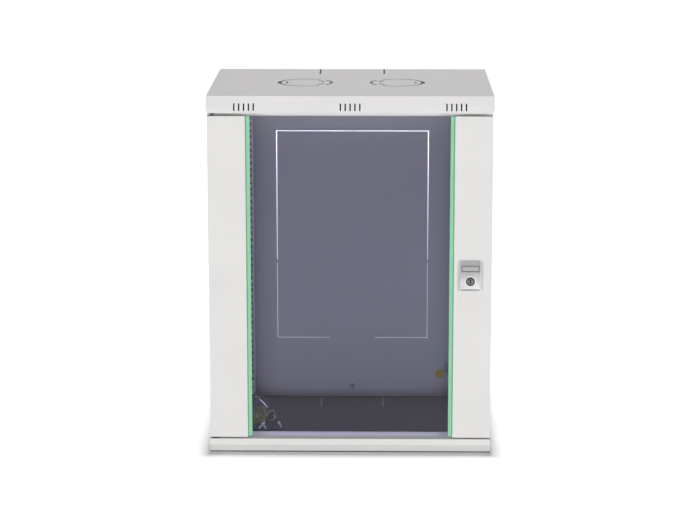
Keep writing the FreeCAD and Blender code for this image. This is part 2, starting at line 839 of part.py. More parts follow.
def rail_bolts(place, name, side, face):
    """Hexagon bolts from inside through the rail and the slot, each with a nut behind the web."""
    solids = []
    turn = outward(side)
    back = f"{face} + rail_bolt_back"
    head_side = "rack_out - rack_sheet - bolt_head_height"
    nut_side = "depth_rail_in + depth_rail_sheet + slip"
    shank_length = "rack_sheet + depth_rail_sheet + 2 * slip + bolt_nut_height + 2"
    for height in ("depth_rail_middle", "total_height - depth_rail_middle"):
        head_place = (mirrored(side, head_side), back, height)
        shank_place = (mirrored(side, "rack_out - rack_sheet"), back, height)
        nut_place = (mirrored(side, nut_side), back, height)
        head = hexagon("bolt_head_radius", "bolt_head_height", head_place, turn)
        shank = rod("rail_bolt_radius", shank_length, shank_place, turn)
        nut = hexagon("bolt_head_radius", "bolt_nut_height", nut_place, turn)
        nut_hole = rod("rail_bolt_radius + running_play", "bolt_nut_height", nut_place, turn)
        solids += [joined(head, shank), cut(nut, nut_hole)]
    group(f"rail_bolts_{place}_{name}", solids)


for place, face in (("front", "front_rail_face"), ("rear", "rear_rail_face")):
    for name, side in (("left", LEFT), ("right", RIGHT)):
        rack_rail(place, name, side, face)
        rail_bolts(place, name, side, face)

# --- Rear panel: a flat sheet with a large knock-out held by small tabs.
rear_panel = new_body("rear_panel")
rear_span = ("rear_panel_front", "seat_back")
whole = oblong("-(rear_panel_half)", "rear_panel_low", "rear_panel_half", "total_height - rear_panel_low")
pad(rear_panel, "front", *rear_span, whole)
for side in (LEFT, RIGHT):
    wide = span(side, "knockout_half - knockout_slit / 2", "knockout_half + knockout_slit / 2")
    fine = span(side, "knockout_half - knockout_fine_slit / 2", "knockout_half + knockout_fine_slit / 2")
    foot = span(side, "knockout_bridge / 2", "knockout_half - knockout_fine_slit / 2")
    head = span(side, "knockout_top_tab / 2", "knockout_half - knockout_fine_slit / 2")
    outlines = [
        oblong(wide[0], "knockout_tab_level + knockout_tab", wide[1], "knockout_high"),
        oblong(fine[0], "knockout_low", fine[1], "knockout_tab_level - knockout_tab"),
        oblong(foot[0], "knockout_low", foot[1], "knockout_low + knockout_fine_slit"),
        oblong(head[0], "knockout_high - knockout_fine_slit", head[1], "knockout_high"),
    ]
    for outline in outlines:
        pocket(rear_panel, "front", *rear_span, outline)
holes = [circle("0", "centre_screw_level", "screw_radius + running_play")]
for side in (LEFT, RIGHT):
    for height in REAR_SCREW_LEVELS:
        holes.append(circle(mirrored(side, "rear_screw_across"), height, "screw_radius + running_play"))
holes.append(circle("earth_across", "earth_level", "earth_radius + running_play"))
pocket(rear_panel, "front", *rear_span, *holes)
lip_hole = circle("0", "centre_screw_level", "screw_radius + running_play")
pocket(bottom_cover, "front", "seat_back", "seat_back + cover_sheet", lip_hole)
lip_hole = circle("0", "total_height - centre_screw_level", "screw_radius + running_play")
pocket(top_cover, "front", "seat_back", "seat_back + cover_sheet", lip_hole)
pocket(rear_panel, "front", *rear_span, lip_hole)

screws = []
screw_places = [("0", "centre_screw_level"), ("0", "total_height - centre_screw_level")]
for side in (LEFT, RIGHT):
    screw_places += [(mirrored(side, "rear_screw_across"), height) for height in REAR_SCREW_LEVELS]
for across, height in screw_places:
    head_place = (across, "rear_panel_front - screw_head_height", height)
    head = rod("screw_head_radius", "screw_head_height", head_place, BACKWARD)
    shank = rod("screw_radius", "screw_length", (across, "rear_panel_front", height), BACKWARD)
    screws.append(joined(head, shank))
group("rear_panel_screws", screws)


# --- Side panels: shallow trays that stand on two tabs and tilt out, each held by a cam lock.
def side_panel(name, side):
    body = new_body(f"side_panel_{name}")
    outer = span(side, "panel_face - panel_return", "panel_face")
    pad(body, "side", *outer, oblong("panel_front", "panel_low", "panel_back", "panel_high"))
    hollow = oblong(
        "panel_front + panel_sheet",
        "panel_low + panel_sheet",
        "panel_back - panel_sheet",
        "panel_high - panel_sheet",
    )
    pocket(body, "side", *span(side, "panel_face - panel_return", "panel_inside"), hollow)
    lock_hole = circle("panel_middle", "panel_lock_level", "panel_lock_radius + running_play")
    pocket(body, "side", *span(side, "panel_inside", "panel_face"), lock_hole)
    left, right = span(side, "panel_tab_out - panel_sheet", "panel_tab_out")
    for end in ("-", "+"):
        middle = f"panel_middle {end} panel_tab_spread / 2"
        tab = oblong(left, f"{middle} - panel_tab_width / 2", right, f"{middle} + panel_tab_width / 2")
        pad(body, "plan", "panel_low - panel_tab_depth", "panel_low + panel_sheet", tab)

    turn = outward(side)
    centre = ("panel_middle", "panel_lock_level")
    body_length = "panel_face - panel_cam_out"
    body_rod = rod("panel_lock_radius", body_length, (mirrored(side, "panel_cam_out"), *centre), turn)
    face_place = (mirrored(side, "panel_face"), *centre)
    face = rod("panel_lock_radius + panel_lock_rim", "panel_lock_proud", face_place, turn)
    slot_low = "panel_lock_level - key_slot_length / 2"
    key_size = {"Length": "key_slot", "Width": "key_slot", "Height": "key_slot_length"}
    key_across = span(side, "panel_face + panel_lock_proud - key_slot", "panel_face + panel_lock_proud")[0]
    key_hole = primitive("Part::Box", key_size, (key_across, "panel_middle - key_slot / 2", slot_low))
    named(f"panel_lock_{name}", cut(joined(body_rod, face), key_hole))

    # the cam lies along the panel while unlocked and turns up behind the cover's lip
    cam = new_body(f"panel_cam_{name}")
    root = "panel_cam_width / 2"
    tip = f"panel_middle + panel_cam_reach - {root}"
    arm = slot("panel_middle", "panel_lock_level", tip, "panel_lock_level", root)
    pad(cam, "side", *span(side, "panel_cam_out - panel_cam_thick", "panel_cam_out"), arm)


side_panel("left", LEFT)
side_panel("right", RIGHT)


# --- Door: two folded stiles joined by the glass, which is taped behind them.
def stile(name, side):
    body = new_body(f"door_stile_{name}")
    section = (
        ("stile_in", "door_front"),
        ("door_half", "door_front"),
        ("door_half", "door_back"),
        ("door_half - stile_rear_return", "door_back"),
        ("door_half - stile_rear_return", "door_back - door_sheet"),
        ("door_half - door_sheet", "door_back - door_sheet"),
        ("door_half - door_sheet", "door_front + door_sheet"),
        ("stile_in + door_sheet", "door_front + door_sheet"),
        ("stile_in + door_sheet", "glass_seat_back - door_sheet"),
        ("stile_in + glass_seat", "glass_seat_back - door_sheet"),
        ("stile_in + glass_seat", "glass_seat_back"),
        ("stile_in", "glass_seat_back"),
    )
    points = [(mirrored(side, across), back) for across, back in section]
    pad(body, "plan", "door_low", "door_high", corners(*points))
    cap = (
        ("stile_in + door_sheet", "door_front + door_sheet"),
        ("door_half - door_sheet", "door_front + door_sheet"),
        ("door_half - door_sheet", "door_back"),
        ("stile_in + glass_seat + door_sheet", "door_back"),
        ("stile_in + glass_seat + door_sheet", "glass_seat_back - door_sheet"),
        ("stile_in + door_sheet", "glass_seat_back - door_sheet"),
    )
    points = [(mirrored(side, across), back) for across, back in cap]
    pad(body, "plan", "door_low", "door_low + door_sheet", corners(*points))
    pad(body, "plan", "door_high - door_sheet", "door_high", corners(*points))
    return body


stile_left = stile("left", LEFT)
stile_right = stile("right", RIGHT)
for low, high in (("door_low", "door_low + door_sheet"), ("door_high - door_sheet", "door_high")):
    pocket(stile_left, "plan", low, high, circle("-(hinge_across)", "hinge_back", "pin_hole"))
lock_hole = circle("bezel_middle", "lock_level", "lock_hole")
pocket(stile_right, "front", "door_front", "door_front + door_sheet", lock_hole)

glass = new_body("door_glass")
pane = oblong("-(glass_half)", "glass_front", "glass_half", "glass_back")
pad(glass, "plan", "door_low + glass_end_gap", "door_high - glass_end_gap", pane)


def door_edge(name, side):
    """Mounting tape behind the stile and the coloured trim strip in its corner."""
    tape = new_body(f"glass_tape_{name}")
    left, right = span(side, "stile_in", "glass_half")
    strip = oblong(left, "glass_seat_back", right, "glass_front")
    pad(tape, "plan", "door_low + glass_end_gap", "door_high - glass_end_gap", strip)
    trim = new_body(f"trim_strip_{name}")
    section = (
        ("trim_in", "glass_front"),
        ("trim_in", "glass_front - trim_edge"),
        ("stile_in - trim_ridge_inset", "glass_front - trim_ridge"),
        ("stile_in", "glass_front - trim_valley"),
        ("stile_in", "glass_front"),
    )
    points = [(mirrored(side, across), back) for across, back in section]
    pad(trim, "plan", "door_low + glass_end_gap", "door_high - glass_end_gap", corners(*points))


door_edge("left", LEFT)
door_edge("right", RIGHT)

# --- Hinge: a riveted pin below, and above a sprung pin that is pulled down to lift the door off.
hinge = ("-(hinge_across)", "hinge_back")


def bush(label, upside):
    """Flanged bush pressed into the cover's flange, its bore a running fit on the pin."""
    body = new_body(label)
    flange = upright(upside, "cover_rise", "cover_rise + bush_flange")
    sleeve = upright(upside, "cover_rise - bush_sleeve", "cover_rise")
    pad(body, "plan", *flange, circle(*hinge, "bush_flange_radius"))
    pad(body, "plan", *sleeve, circle(*hinge, "bush_radius"))
    bore = upright(upside, "cover_rise - bush_sleeve", "cover_rise + bush_flange")
    pocket(body, "plan", *bore, circle(*hinge, "pin_hole"))


bush("hinge_bush_lower", False)
bush("hinge_bush_upper", True)

pin_low = "cover_rise - bush_sleeve"
rivet_head_place = (*hinge, "door_low + door_sheet")
rivet_head = rod("hinge_pin_head", "hinge_pin_head_height", rivet_head_place)
lower_shank = rod("hinge_pin_radius", f"door_low + door_sheet - ({pin_low})", (*hinge, pin_low))
named("hinge_pin_lower", joined(rivet_head, lower_shank))

upper_low = "hinge_bracket_level - hinge_pin_stand"
upper_high = "total_height - cover_rise + bush_sleeve"
collar = rod("hinge_pin_head", "hinge_pin_head_height", (*hinge, "hinge_collar_level"))
upper_shank = rod("hinge_pin_radius", f"{upper_high} - ({upper_low})", (*hinge, upper_low))
named("hinge_pin_upper", joined(collar, upper_shank))

bracket = new_body("hinge_bracket")
bracket_plate = oblong(
    "-(door_half - door_sheet)",
    "door_front + door_sheet",
    "-(door_half - door_sheet - hinge_bracket_width)",
    "door_back - door_sheet",
)
bracket_span = ("hinge_bracket_level", "hinge_bracket_level + door_sheet")
pad(bracket, "plan", *bracket_span, bracket_plate)
pocket(bracket, "plan", *bracket_span, circle(*hinge, "pin_hole"))

spring = new_body("hinge_spring")
spring_room = "spring_length - 2 * spring_wire - 2 * slip"
coil = sketch_at(spring, "front", "0", [circle("spring_radius", "spring_wire + slip", "spring_wire / 2")])
helix = spring.newObject("PartDesign::AdditiveHelix", "Coil")
helix.Profile = coil
helix.ReferenceAxis = (coil, ["V_Axis"])
helix.Mode = "height-turns-angle"
helix.setExpression("Height", bound(spring_room))
helix.setExpression("Turns", bound("spring_turns"))
spring.Tip = helix
for axis, formula in zip("xyz", (*hinge, "hinge_bracket_level + door_sheet")):
    spring.setExpression(f"Placement.Base.{axis}", bound(formula))

buffers = []
for height in ("door_low + buffer_end_inset", "door_high - buffer_end_inset"):
    place = ("post_out - buffer_side_inset", "door_back + slip", height)
    buffers.append(rod("buffer_radius", "frame_front - door_back - slip", place, BACKWARD))
group("door_buffers", buffers)

# --- Lock: a bezel on the stile, a cylinder through it, and a cam that turns behind the front post.
bezel = new_body("lock_bezel")
plate = oblong("bezel_middle - bezel_width / 2", "bezel_low", "bezel_middle + bezel_width / 2", "bezel_top")
pad(bezel, "front", "bezel_front", "door_front", plate)
doc.recompute()
bezel_plate = bezel.Tip
corner_edges = []
for number, edge in enumerate(bezel_plate.Shape.Edges, start=1):
    if edge.BoundBox.XLength + edge.BoundBox.ZLength < 0.01:
        corner_edges.append(f"Edge{number}")
rounding = bezel.newObject("PartDesign::Fillet", "Corners")
rounding.Base = (bezel_plate, corner_edges)
rounding.setExpression("Radius", bound("bezel_corner"))
bezel.Tip = rounding
# the band along the top slopes back, as a wedge taken off the face
band_low = "bezel_top - bezel_band"
band_back = "bezel_front + bezel_border"
wedge = corners(("bezel_front", band_low), ("bezel_front", "bezel_top"), (band_back, "bezel_top"))
pocket(bezel, "side", "bezel_middle - bezel_width / 2", "bezel_middle + bezel_width / 2", wedge)
frame_high = "bezel_top - label_frame_drop"
frame_low = f"{frame_high} - label_frame_height"
frame_left = "bezel_middle - bezel_width / 2 + bezel_border"
frame_right = "bezel_middle + bezel_width / 2 - bezel_border"
outer_frame = oblong(frame_left, frame_low, frame_right, frame_high)
inner_frame = oblong(
    f"{frame_left} + label_frame_rim",
    f"{frame_low} + label_frame_rim",
    f"{frame_right} - label_frame_rim",
    f"{frame_high} - label_frame_rim",
)
pad(bezel, "front", "bezel_front - label_frame_proud", "bezel_front", outer_frame, inner_frame)
lower_field = oblong(
    f"{frame_left} + label_frame_rim",
    "bezel_low + bezel_border",
    f"{frame_right} - label_frame_rim",
    f"{frame_low} - label_frame_rim",
)
pocket(bezel, "front", "bezel_front", "bezel_front + score_depth", lower_field)
seat = circle("bezel_middle", "lock_level", "lock_radius + lock_body_play")
pocket(bezel, "front", "bezel_front", "door_front", seat)

lock = ("bezel_middle", "lock_level")


def along_y(low, high, radius):
    """Round bar on the lock's axis between two distances from front to back."""
    return rod(radius, f"({high}) - ({low})", (lock[0], low, lock[1]), BACKWARD)


key_size = {"Length": "key_slot", "Width": "key_slot_length / 2", "Height": "key_slot_length"}
key_place = ("bezel_middle - key_slot / 2", "bezel_front", "lock_level - key_slot_length / 2")
lock_front = along_y("bezel_front", "door_front - slip", "lock_radius")
lock_barrel = along_y("door_front - slip", "cam_front", "lock_body_radius")
named("lock_cylinder", cut(joined(lock_front, lock_barrel), primitive("Part::Box", key_size, key_place)))

nut_low = "door_front + door_sheet"
nut_body = hexagon("lock_nut_radius", "lock_nut_height", (lock[0], nut_low, lock[1]), BACKWARD)
nut_bore = along_y(nut_low, f"{nut_low} + lock_nut_height", "lock_hole")
named("lock_nut", cut(nut_body, nut_bore))

cam = new_body("lock_cam")
cam_end = "lock_level - cam_reach + cam_width / 2"
arm = slot("bezel_middle", "lock_level", "bezel_middle", cam_end, "cam_width / 2")
pad(cam, "front", "cam_front", "cam_back", arm)
pocket(cam, "front", "cam_front", "cam_back", circle(*lock, "cam_screw_radius + running_play"))
screw_head = along_y("cam_back", "cam_back + cam_thick", "cam_screw_head")
screw_shank = along_y("cam_front", "cam_back", "cam_screw_radius")
named("lock_cam_screw", joined(screw_head, screw_shank))

# --- Earth point and its round label on the rear panel.
stud_length = "rear_sheet + earth_length"
stud_front = "rear_panel_front - earth_length"
stud = rod("earth_radius", stud_length, ("earth_across", stud_front, "earth_level"), BACKWARD)
named("earth_stud", stud)
earth_fittings = []
stack = (
    ("earth_washer_radius", "earth_washer_thick", "earth_washer_thick"),
    ("earth_nut_radius", "earth_nut_height", "earth_washer_thick + earth_nut_height"),
    ("earth_washer_radius", "earth_washer_thick", "2 * earth_washer_thick + earth_nut_height"),
    ("earth_nut_radius", "earth_nut_height", "2 * earth_washer_thick + 2 * earth_nut_height"),
)
for radius, thick, reach in stack:
    place = ("earth_across", f"rear_panel_front - ({reach})", "earth_level")
    form = hexagon if radius == "earth_nut_radius" else rod
    hole = rod("earth_radius + running_play", thick, place, BACKWARD)
    earth_fittings.append(cut(form(radius, thick, place, BACKWARD), hole))
group("earth_nuts", earth_fittings)
label_place = ("label_across", "rear_panel_front - label_thick", "label_level")
named("earth_label", rod("label_radius", "label_thick", label_place, BACKWARD))

# --- Bag of loose fittings on the floor: the space that the soft bag fills.
bag = doc.addObject("Part::Wedge", "Bag")
bag_top_left = "bag_lean - bag_width / 2"
bag_inset_deep = "bag_depth * (1 - bag_top_share) / 2"
wedge_sizes = {
    "Xmin": "-(bag_width) / 2",
    "Xmax": "bag_width / 2",
    "X2min": bag_top_left,
    "X2max": f"{bag_top_left} + bag_width * bag_top_share",
    "Ymin": "0",
    "Ymax": "bag_height",
    "Zmin": "-(bag_depth) / 2",
    "Zmax": "bag_depth / 2",
    "Z2min": f"{bag_inset_deep} - bag_depth / 2",
    "Z2max": f"bag_depth / 2 - {bag_inset_deep}",
}
for name, formula in wedge_sizes.items():
    bag.setExpression(name, bound(formula))
bag.Placement.Rotation = FreeCAD.Rotation(FreeCAD.Vector(1, 0, 0), 90)
bag_place = ("bag_gap + bag_width / 2 - rack_in", "front_face + bag_front + bag_depth / 2", "cover_sheet")
for axis, formula in zip("xyz", bag_place):
    bag.setExpression(f"Placement.Base.{axis}", bound(formula))
named("fittings_bag", bag)

# --- Check every object, then write one file for each piece.
doc.recompute()
for item in doc.Objects:
    if "Invalid" in item.State or "Error" in item.State:
        raise RuntimeError(f"{item.Label} failed: {item.State}")
os.makedirs("parts", exist_ok=True)
for piece in pieces:
    if piece.Shape.isNull() or not piece.Shape.isValid():
        raise RuntimeError(f"{piece.Label} has no valid shape")
for piece in pieces:
    piece.Shape.exportStep(f"parts/{piece.Label}.step")
print(len(pieces), "pieces written")
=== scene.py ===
import json
import math

import bpy
import numpy as np
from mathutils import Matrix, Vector


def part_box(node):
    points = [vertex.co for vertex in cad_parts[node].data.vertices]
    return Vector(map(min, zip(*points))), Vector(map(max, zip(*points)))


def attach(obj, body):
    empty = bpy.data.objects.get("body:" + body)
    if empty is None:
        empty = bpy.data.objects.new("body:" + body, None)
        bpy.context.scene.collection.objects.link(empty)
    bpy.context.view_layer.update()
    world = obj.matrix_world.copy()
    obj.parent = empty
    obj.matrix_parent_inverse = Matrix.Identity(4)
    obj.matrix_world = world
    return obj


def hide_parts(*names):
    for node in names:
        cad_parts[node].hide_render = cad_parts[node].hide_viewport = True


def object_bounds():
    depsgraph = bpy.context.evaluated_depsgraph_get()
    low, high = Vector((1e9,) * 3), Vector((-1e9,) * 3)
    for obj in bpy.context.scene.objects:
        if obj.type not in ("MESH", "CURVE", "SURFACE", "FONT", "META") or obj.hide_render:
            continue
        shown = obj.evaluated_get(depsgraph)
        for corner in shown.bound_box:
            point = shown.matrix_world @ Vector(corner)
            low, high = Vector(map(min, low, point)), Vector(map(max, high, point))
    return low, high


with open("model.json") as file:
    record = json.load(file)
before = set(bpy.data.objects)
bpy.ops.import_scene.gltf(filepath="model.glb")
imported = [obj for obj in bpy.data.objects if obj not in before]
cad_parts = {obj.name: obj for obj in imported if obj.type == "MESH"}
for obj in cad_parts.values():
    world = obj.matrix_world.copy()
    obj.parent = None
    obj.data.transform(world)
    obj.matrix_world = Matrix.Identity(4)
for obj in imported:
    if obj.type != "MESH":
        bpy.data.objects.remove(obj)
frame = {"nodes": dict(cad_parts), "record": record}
cad_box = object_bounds()
studio = bpy.context.scene

# --- Camera.
# A long lens a little above the cabinet's top and almost square to its door, so that the roof
# shows and the sides don't.
camera_place = (0.0579, -4.7747, 1.4238)
camera_down, camera_left = math.radians(12.36), math.radians(0.73)
lens_view = bpy.data.cameras.new("lens_view")
lens_view.lens = 113.96
lens_view.sensor_width = 36
lens_view.clip_end = 100
camera = bpy.data.objects.new("camera", lens_view)
camera.location = camera_place
camera.rotation_euler = (math.pi / 2 - camera_down, 0, camera_left)
studio.collection.objects.link(camera)
studio.camera = camera
studio.view_settings.view_transform = "Standard"


# --- Studio floor and lamps.
# A wide white floor that keeps the soft shadow under the cabinet and has a painted one round its
# foot and behind it, a pale even sky, a softbox in front with two stronger ones beside it, one
# overhead, one behind, and a narrow one for the bag.
def new_material(name):
    """An empty material with its output: gives the material, its nodes and its links."""
    material = bpy.data.materials.new(name)
    material.use_nodes = True
    material.node_tree.nodes.clear()
    material.node_tree.nodes.new("ShaderNodeOutputMaterial")
    return material, material.node_tree.nodes, material.node_tree.links


def calculator(nodes, links):
    """A function that adds one plain step with numbers or outputs, and gives its result."""

    def step(operation, *sources):
        node = nodes.new("ShaderNodeMath")
        node.operation = operation
        for socket, source in zip(node.inputs, sources):
            if isinstance(source, (int, float)):
                socket.default_value = source
            else:
                links.new(source, socket)
        return node.outputs[0]

    return step


def spread(nodes, links, source, ends, shares, smooth=False):
    """One share up to the source's one end, the other share from the other end on, and even or
    smooth between them."""
    level = nodes.new("ShaderNodeMapRange")
    if smooth:
        level.interpolation_type = "SMOOTHSTEP"
    level.inputs["From Min"].default_value, level.inputs["From Max"].default_value = ends
    level.inputs["To Min"].default_value, level.inputs["To Max"].default_value = shares
    links.new(source, level.inputs["Value"])
    return level.outputs[0]


def place_in_cabinet(nodes, links):
    """The X, Y and Z of a point of a piece at rest in the cabinet, by their names."""
    place = nodes.new("ShaderNodeTexCoord")
    parts = nodes.new("ShaderNodeSeparateXYZ")
    links.new(place.outputs["Object"], parts.inputs[0])
    return parts.outputs


def lobe(nodes, kind, color, roughness=None):
    """One plain shader of the kind and colour: gives its node."""
    node = nodes.new(f"ShaderNode{kind}")
    node.inputs["Color"].default_value = (*color, 1)
    if roughness is not None:
        node.inputs["Roughness"].default_value = roughness
    return node


def blended(nodes, links, share, first, second):
    """The first shader where the share is 0, the second where it is 1: gives the output."""
    mix = nodes.new("ShaderNodeMixShader")
    for socket, source in zip(mix.inputs, (share, first, second)):
        links.new(source, socket)
    return mix.outputs[0]


def seen_by_eye(nodes, links):
    """1 for what the camera sees directly, in a mirror or through glass, and 0 for light."""
    path = nodes.new("ShaderNodeLightPath").outputs
    step = calculator(nodes, links)
    mirrored = step("MAXIMUM", path["Is Glossy Ray"], path["Is Transmission Ray"])
    return step("MAXIMUM", path["Is Camera Ray"], mirrored)


def lighting(nodes, links):
    """1 for light on its way to a lamp or scattered off something dull, and 0 for the eye."""
    path = nodes.new("ShaderNodeLightPath").outputs
    return calculator(nodes, links)("MAXIMUM", path["Is Shadow Ray"], path["Is Diffuse Ray"])


def white_floor(footprint):
    """A diffuse white that also glows for the eye, so that it stays white in the open. The glow
    is 0.78 times one minus e to the power of minus the distance from the cabinet's footprint
    over 20 mm, so none under the cabinet, and grows by 0.04 for each metre beyond it, up to
    0.12; where it falls near the cabinet it is a painted soft shadow. In the cabinet's long
    shadow, the part of the floor that it hides from the camera, a painted shadow takes 0.85 of
    the glow away, and all of it is back 4 m away."""
    glow_near, glow_reach, glow_per_metre, glow_far = 0.78, 0.02, 0.04, 0.12
    shadow_share, shadow_begins, shadow_ends = 0.85, 0.25, (1.8, 4.0)
    hidden_slopes = (0.032, 0.058)
    material, nodes, links = new_material("studio_floor")
    step = calculator(nodes, links)
    place = nodes.new("ShaderNodeTexCoord").outputs["Object"]

    def vector_step(operation, first, second=(0, 0, 0)):
        """One step of the vector from the footprint: gives the outputs."""
        node = nodes.new("ShaderNodeVectorMath")
        node.operation = operation
        links.new(first, node.inputs[0])
        node.inputs[1].default_value = second
        return node.outputs

    away = vector_step("ABSOLUTE", place)["Vector"]
    away = vector_step("SUBTRACT", away, footprint)["Vector"]
    away = vector_step("MAXIMUM", away)["Vector"]
    away = vector_step("LENGTH", away)["Value"]
    # The glow's fall near the cabinet paints a soft shadow round its foot.
    fade = step("EXPONENT", step("DIVIDE", away, -glow_reach))
    near = step("MULTIPLY", glow_near, step("SUBTRACT", 1.0, fade))
    far = step("MINIMUM", step("MULTIPLY", away, glow_per_metre), glow_far)
    strength = step("MULTIPLY", step("ADD", near, far), seen_by_eye(nodes, links))
    parts = place_in_cabinet(nodes, links)
    # A painted shadow on the floor behind the cabinet, where the cabinet hides it from the camera.
    from_camera = step("SUBTRACT", parts["Y"], camera_place[1])
    slope = step("ABSOLUTE", step("DIVIDE", parts["X"], from_camera))
    beside = spread(nodes, links, slope, hidden_slopes, (1, 0))
    shadow = step("MULTIPLY", beside, spread(nodes, links, parts["Y"], shadow_ends, (1, 0)))
    shadow = step("MULTIPLY", shadow, step("GREATER_THAN", parts["Y"], shadow_begins))
    left_over = step("SUBTRACT", 1.0, step("MULTIPLY", shadow, shadow_share))
    strength = step("MULTIPLY", strength, left_over)
    glow = nodes.new("ShaderNodeEmission")
    links.new(strength, glow.inputs["Strength"])
    both = nodes.new("ShaderNodeAddShader")
    links.new(lobe(nodes, "BsdfDiffuse", (0.8, 0.8, 0.8)).outputs[0], both.inputs[0])
    links.new(glow.outputs[0], both.inputs[1])
    links.new(both.outputs[0], nodes["Material Output"].inputs["Surface"])
    return material


floor_reach = 14
floor_mesh = bpy.data.meshes.new("floor")
floor_corners = [(-1, -1), (1, -1), (1, 1), (-1, 1)]
floor_points = [(x * floor_reach, y * floor_reach, 0) for x, y in floor_corners]
floor_mesh.from_pydata(floor_points, [], [(0, 1, 2, 3)])
cad_low, cad_high = (Vector(corner) for corner in cad_box)
half_size = (cad_high - cad_low) / 2
floor_mesh.materials.append(white_floor((half_size.x, half_size.y, 0)))
floor = bpy.data.objects.new("floor", floor_mesh)
studio.collection.objects.link(floor)


def pale_sky():
    """A sky that is white to the eye and gives only a weak, slightly blue light."""
    sky = bpy.data.worlds.new("sky")
    sky.use_nodes = True
    nodes, links = sky.node_tree.nodes, sky.node_tree.links
    nodes.clear()
    output = nodes.new("ShaderNodeOutputWorld")
    white = nodes.new("ShaderNodeBackground")
    white.inputs["Strength"].default_value = 1
    light = lobe(nodes, "Background", (0.985, 0.985, 1.0))
    light.inputs["Strength"].default_value = 0.17
    eye = seen_by_eye(nodes, links)
    mixed = blended(nodes, links, eye, light.outputs[0], white.outputs[0])
    links.new(mixed, output.inputs["Surface"])
    return sky


studio.world = pale_sky()
cabinet_middle = (0, 0, 0.4)


def softbox(name, place, size, watts, glossy=True, tint=(1, 1, 1)):
    """A square lamp at a place, turned to the middle of the cabinet, that no picture shows:
    gives the lamp."""
    lamp = bpy.data.lights.new(name, "AREA")
    lamp.color = tint
    lamp.size = size
    lamp.energy = watts
    holder = bpy.data.objects.new(name, lamp)
    holder.location = place
    aim = Vector(cabinet_middle) - Vector(place)
    holder.rotation_euler = aim.to_track_quat("-Z", "Y").to_euler()
    holder.visible_camera = False
    holder.visible_glossy = glossy
    holder.visible_transmission = False
    studio.collection.objects.link(holder)
    return holder


softbox("front_softbox", (-0.1, -5.2, 0.6), size=1.1, watts=38, glossy=False)
softbox("front_left_softbox", (-4.0, -3.4, 0.6), size=1.1, watts=107, glossy=False)
softbox("front_right_softbox", (4.0, -3.4, 0.6), size=1.1, watts=109, glossy=False)
softbox("top_softbox", (0.0, -0.12, 3.6), size=0.8, watts=35, tint=(1, 0.97, 1.02))
glint = softbox("glint_softbox", (0.6, -4.2, 1.7), size=0.3, watts=110)
softbox("back_softbox", (0.5, 4.6, 1.0), size=2.2, watts=100, glossy=False)


# --- Covers, posts, rails, rear panel, side panels and door stiles.
# Folded steel sheet with a baked light grey powder coat: an even colour, a fine orange peel and a
# soft sheen, with shade painted in where seams, slits and folds close in. Everything folded from
# sheet leaves the same paint line.
def shader_of(nodes, links):
    """A Principled node joined to the material's output."""
    shader = nodes.new("ShaderNodeBsdfPrincipled")
    links.new(shader.outputs[0], nodes["Material Output"].inputs["Surface"])
    return shader


def noise(nodes, links, size, detail=3.0, stretch=(1, 1, 1)):
    """Noise whose spots are about size metres across, in the piece's own place in the cabinet."""
    place = nodes.new("ShaderNodeTexCoord")
    turn = nodes.new("ShaderNodeMapping")
    turn.inputs["Scale"].default_value = stretch
    spots = nodes.new("ShaderNodeTexNoise")
    spots.inputs["Scale"].default_value = 1 / size
    spots.inputs["Detail"].default_value = detail
    links.new(place.outputs["Object"], turn.inputs["Vector"])
    links.new(turn.outputs[0], spots.inputs["Vector"])
    return spots.outputs["Fac"]


def ramp(nodes, links, source, low, high):
    """The source's middle range spread from one number or colour to another."""
    middle = (0.3, 0.7)
    if not isinstance(low, tuple):
        return spread(nodes, links, source, middle, (low, high))
    return toned(nodes, links, spread(nodes, links, source, middle, (0, 1)), low, high)


def toned(nodes, links, share, low, high):
    """One colour where the share is 0, the other where it is 1."""
    tone = nodes.new("ShaderNodeMix")
    tone.data_type = "RGBA"
    tone.inputs["A"].default_value = (*low, 1)
    tone.inputs["B"].default_value = (*high, 1)
    links.new(share, tone.inputs["Factor"])
    return tone.outputs["Result"]


def bumped(nodes, links, source, height):
    """A normal from bumps that rise by the height, in metres, where the source is 1."""
    bumps = nodes.new("ShaderNodeBump")
    bumps.inputs["Strength"].default_value = 1.0
    bumps.inputs["Distance"].default_value = height
    links.new(source, bumps.inputs["Height"])
    return bumps.outputs[0]


def finish(name, tones, patch, roughness, grain, height, stretch=(1, 1, 1), **sockets):
    """A finish whose colour drifts between two tones over patches, whose roughness and bumps
    follow a fine grain of the given size and height in metres. Other sockets are set as named."""
    material, nodes, links = new_material(name)
    shader = shader_of(nodes, links)
    drift = noise(nodes, links, patch)
    links.new(ramp(nodes, links, drift, *tones), shader.inputs["Base Color"])
    fine = noise(nodes, links, grain, stretch=stretch)
    links.new(ramp(nodes, links, fine, *roughness), shader.inputs["Roughness"])
    links.new(bumped(nodes, links, fine, height), shader.inputs["Normal"])
    for socket, setting in sockets.items():
        shader.inputs[socket.replace("_", " ")].default_value = setting
    return material


def dress(material, *nodes):
    """The named CAD pieces get the material."""
    for node in nodes:
        part = frame["nodes"][node]
        if not part.material_slots:
            part.data.materials.append(material)
        for place in part.material_slots:
            place.material = material


def dress_both(material, *nodes):
    """The left and the right one of each named pair of CAD pieces get the material."""
    dress(material, *(f"{node}_{side}" for node in nodes for side in ("left", "right")))


def dimmed(material, share):
    """The colour is multiplied by an output that is 1 where it stays as it is."""
    nodes, links = material.node_tree.nodes, material.node_tree.links
    shader = next(node for node in nodes if node.type == "BSDF_PRINCIPLED")
    shade = nodes.new("ShaderNodeVectorMath")
    shade.operation = "SCALE"
    links.new(shader.inputs["Base Color"].links[0].from_socket, shade.inputs[0])
    links.new(share, shade.inputs["Scale"])
    links.new(shade.outputs["Vector"], shader.inputs["Base Color"])


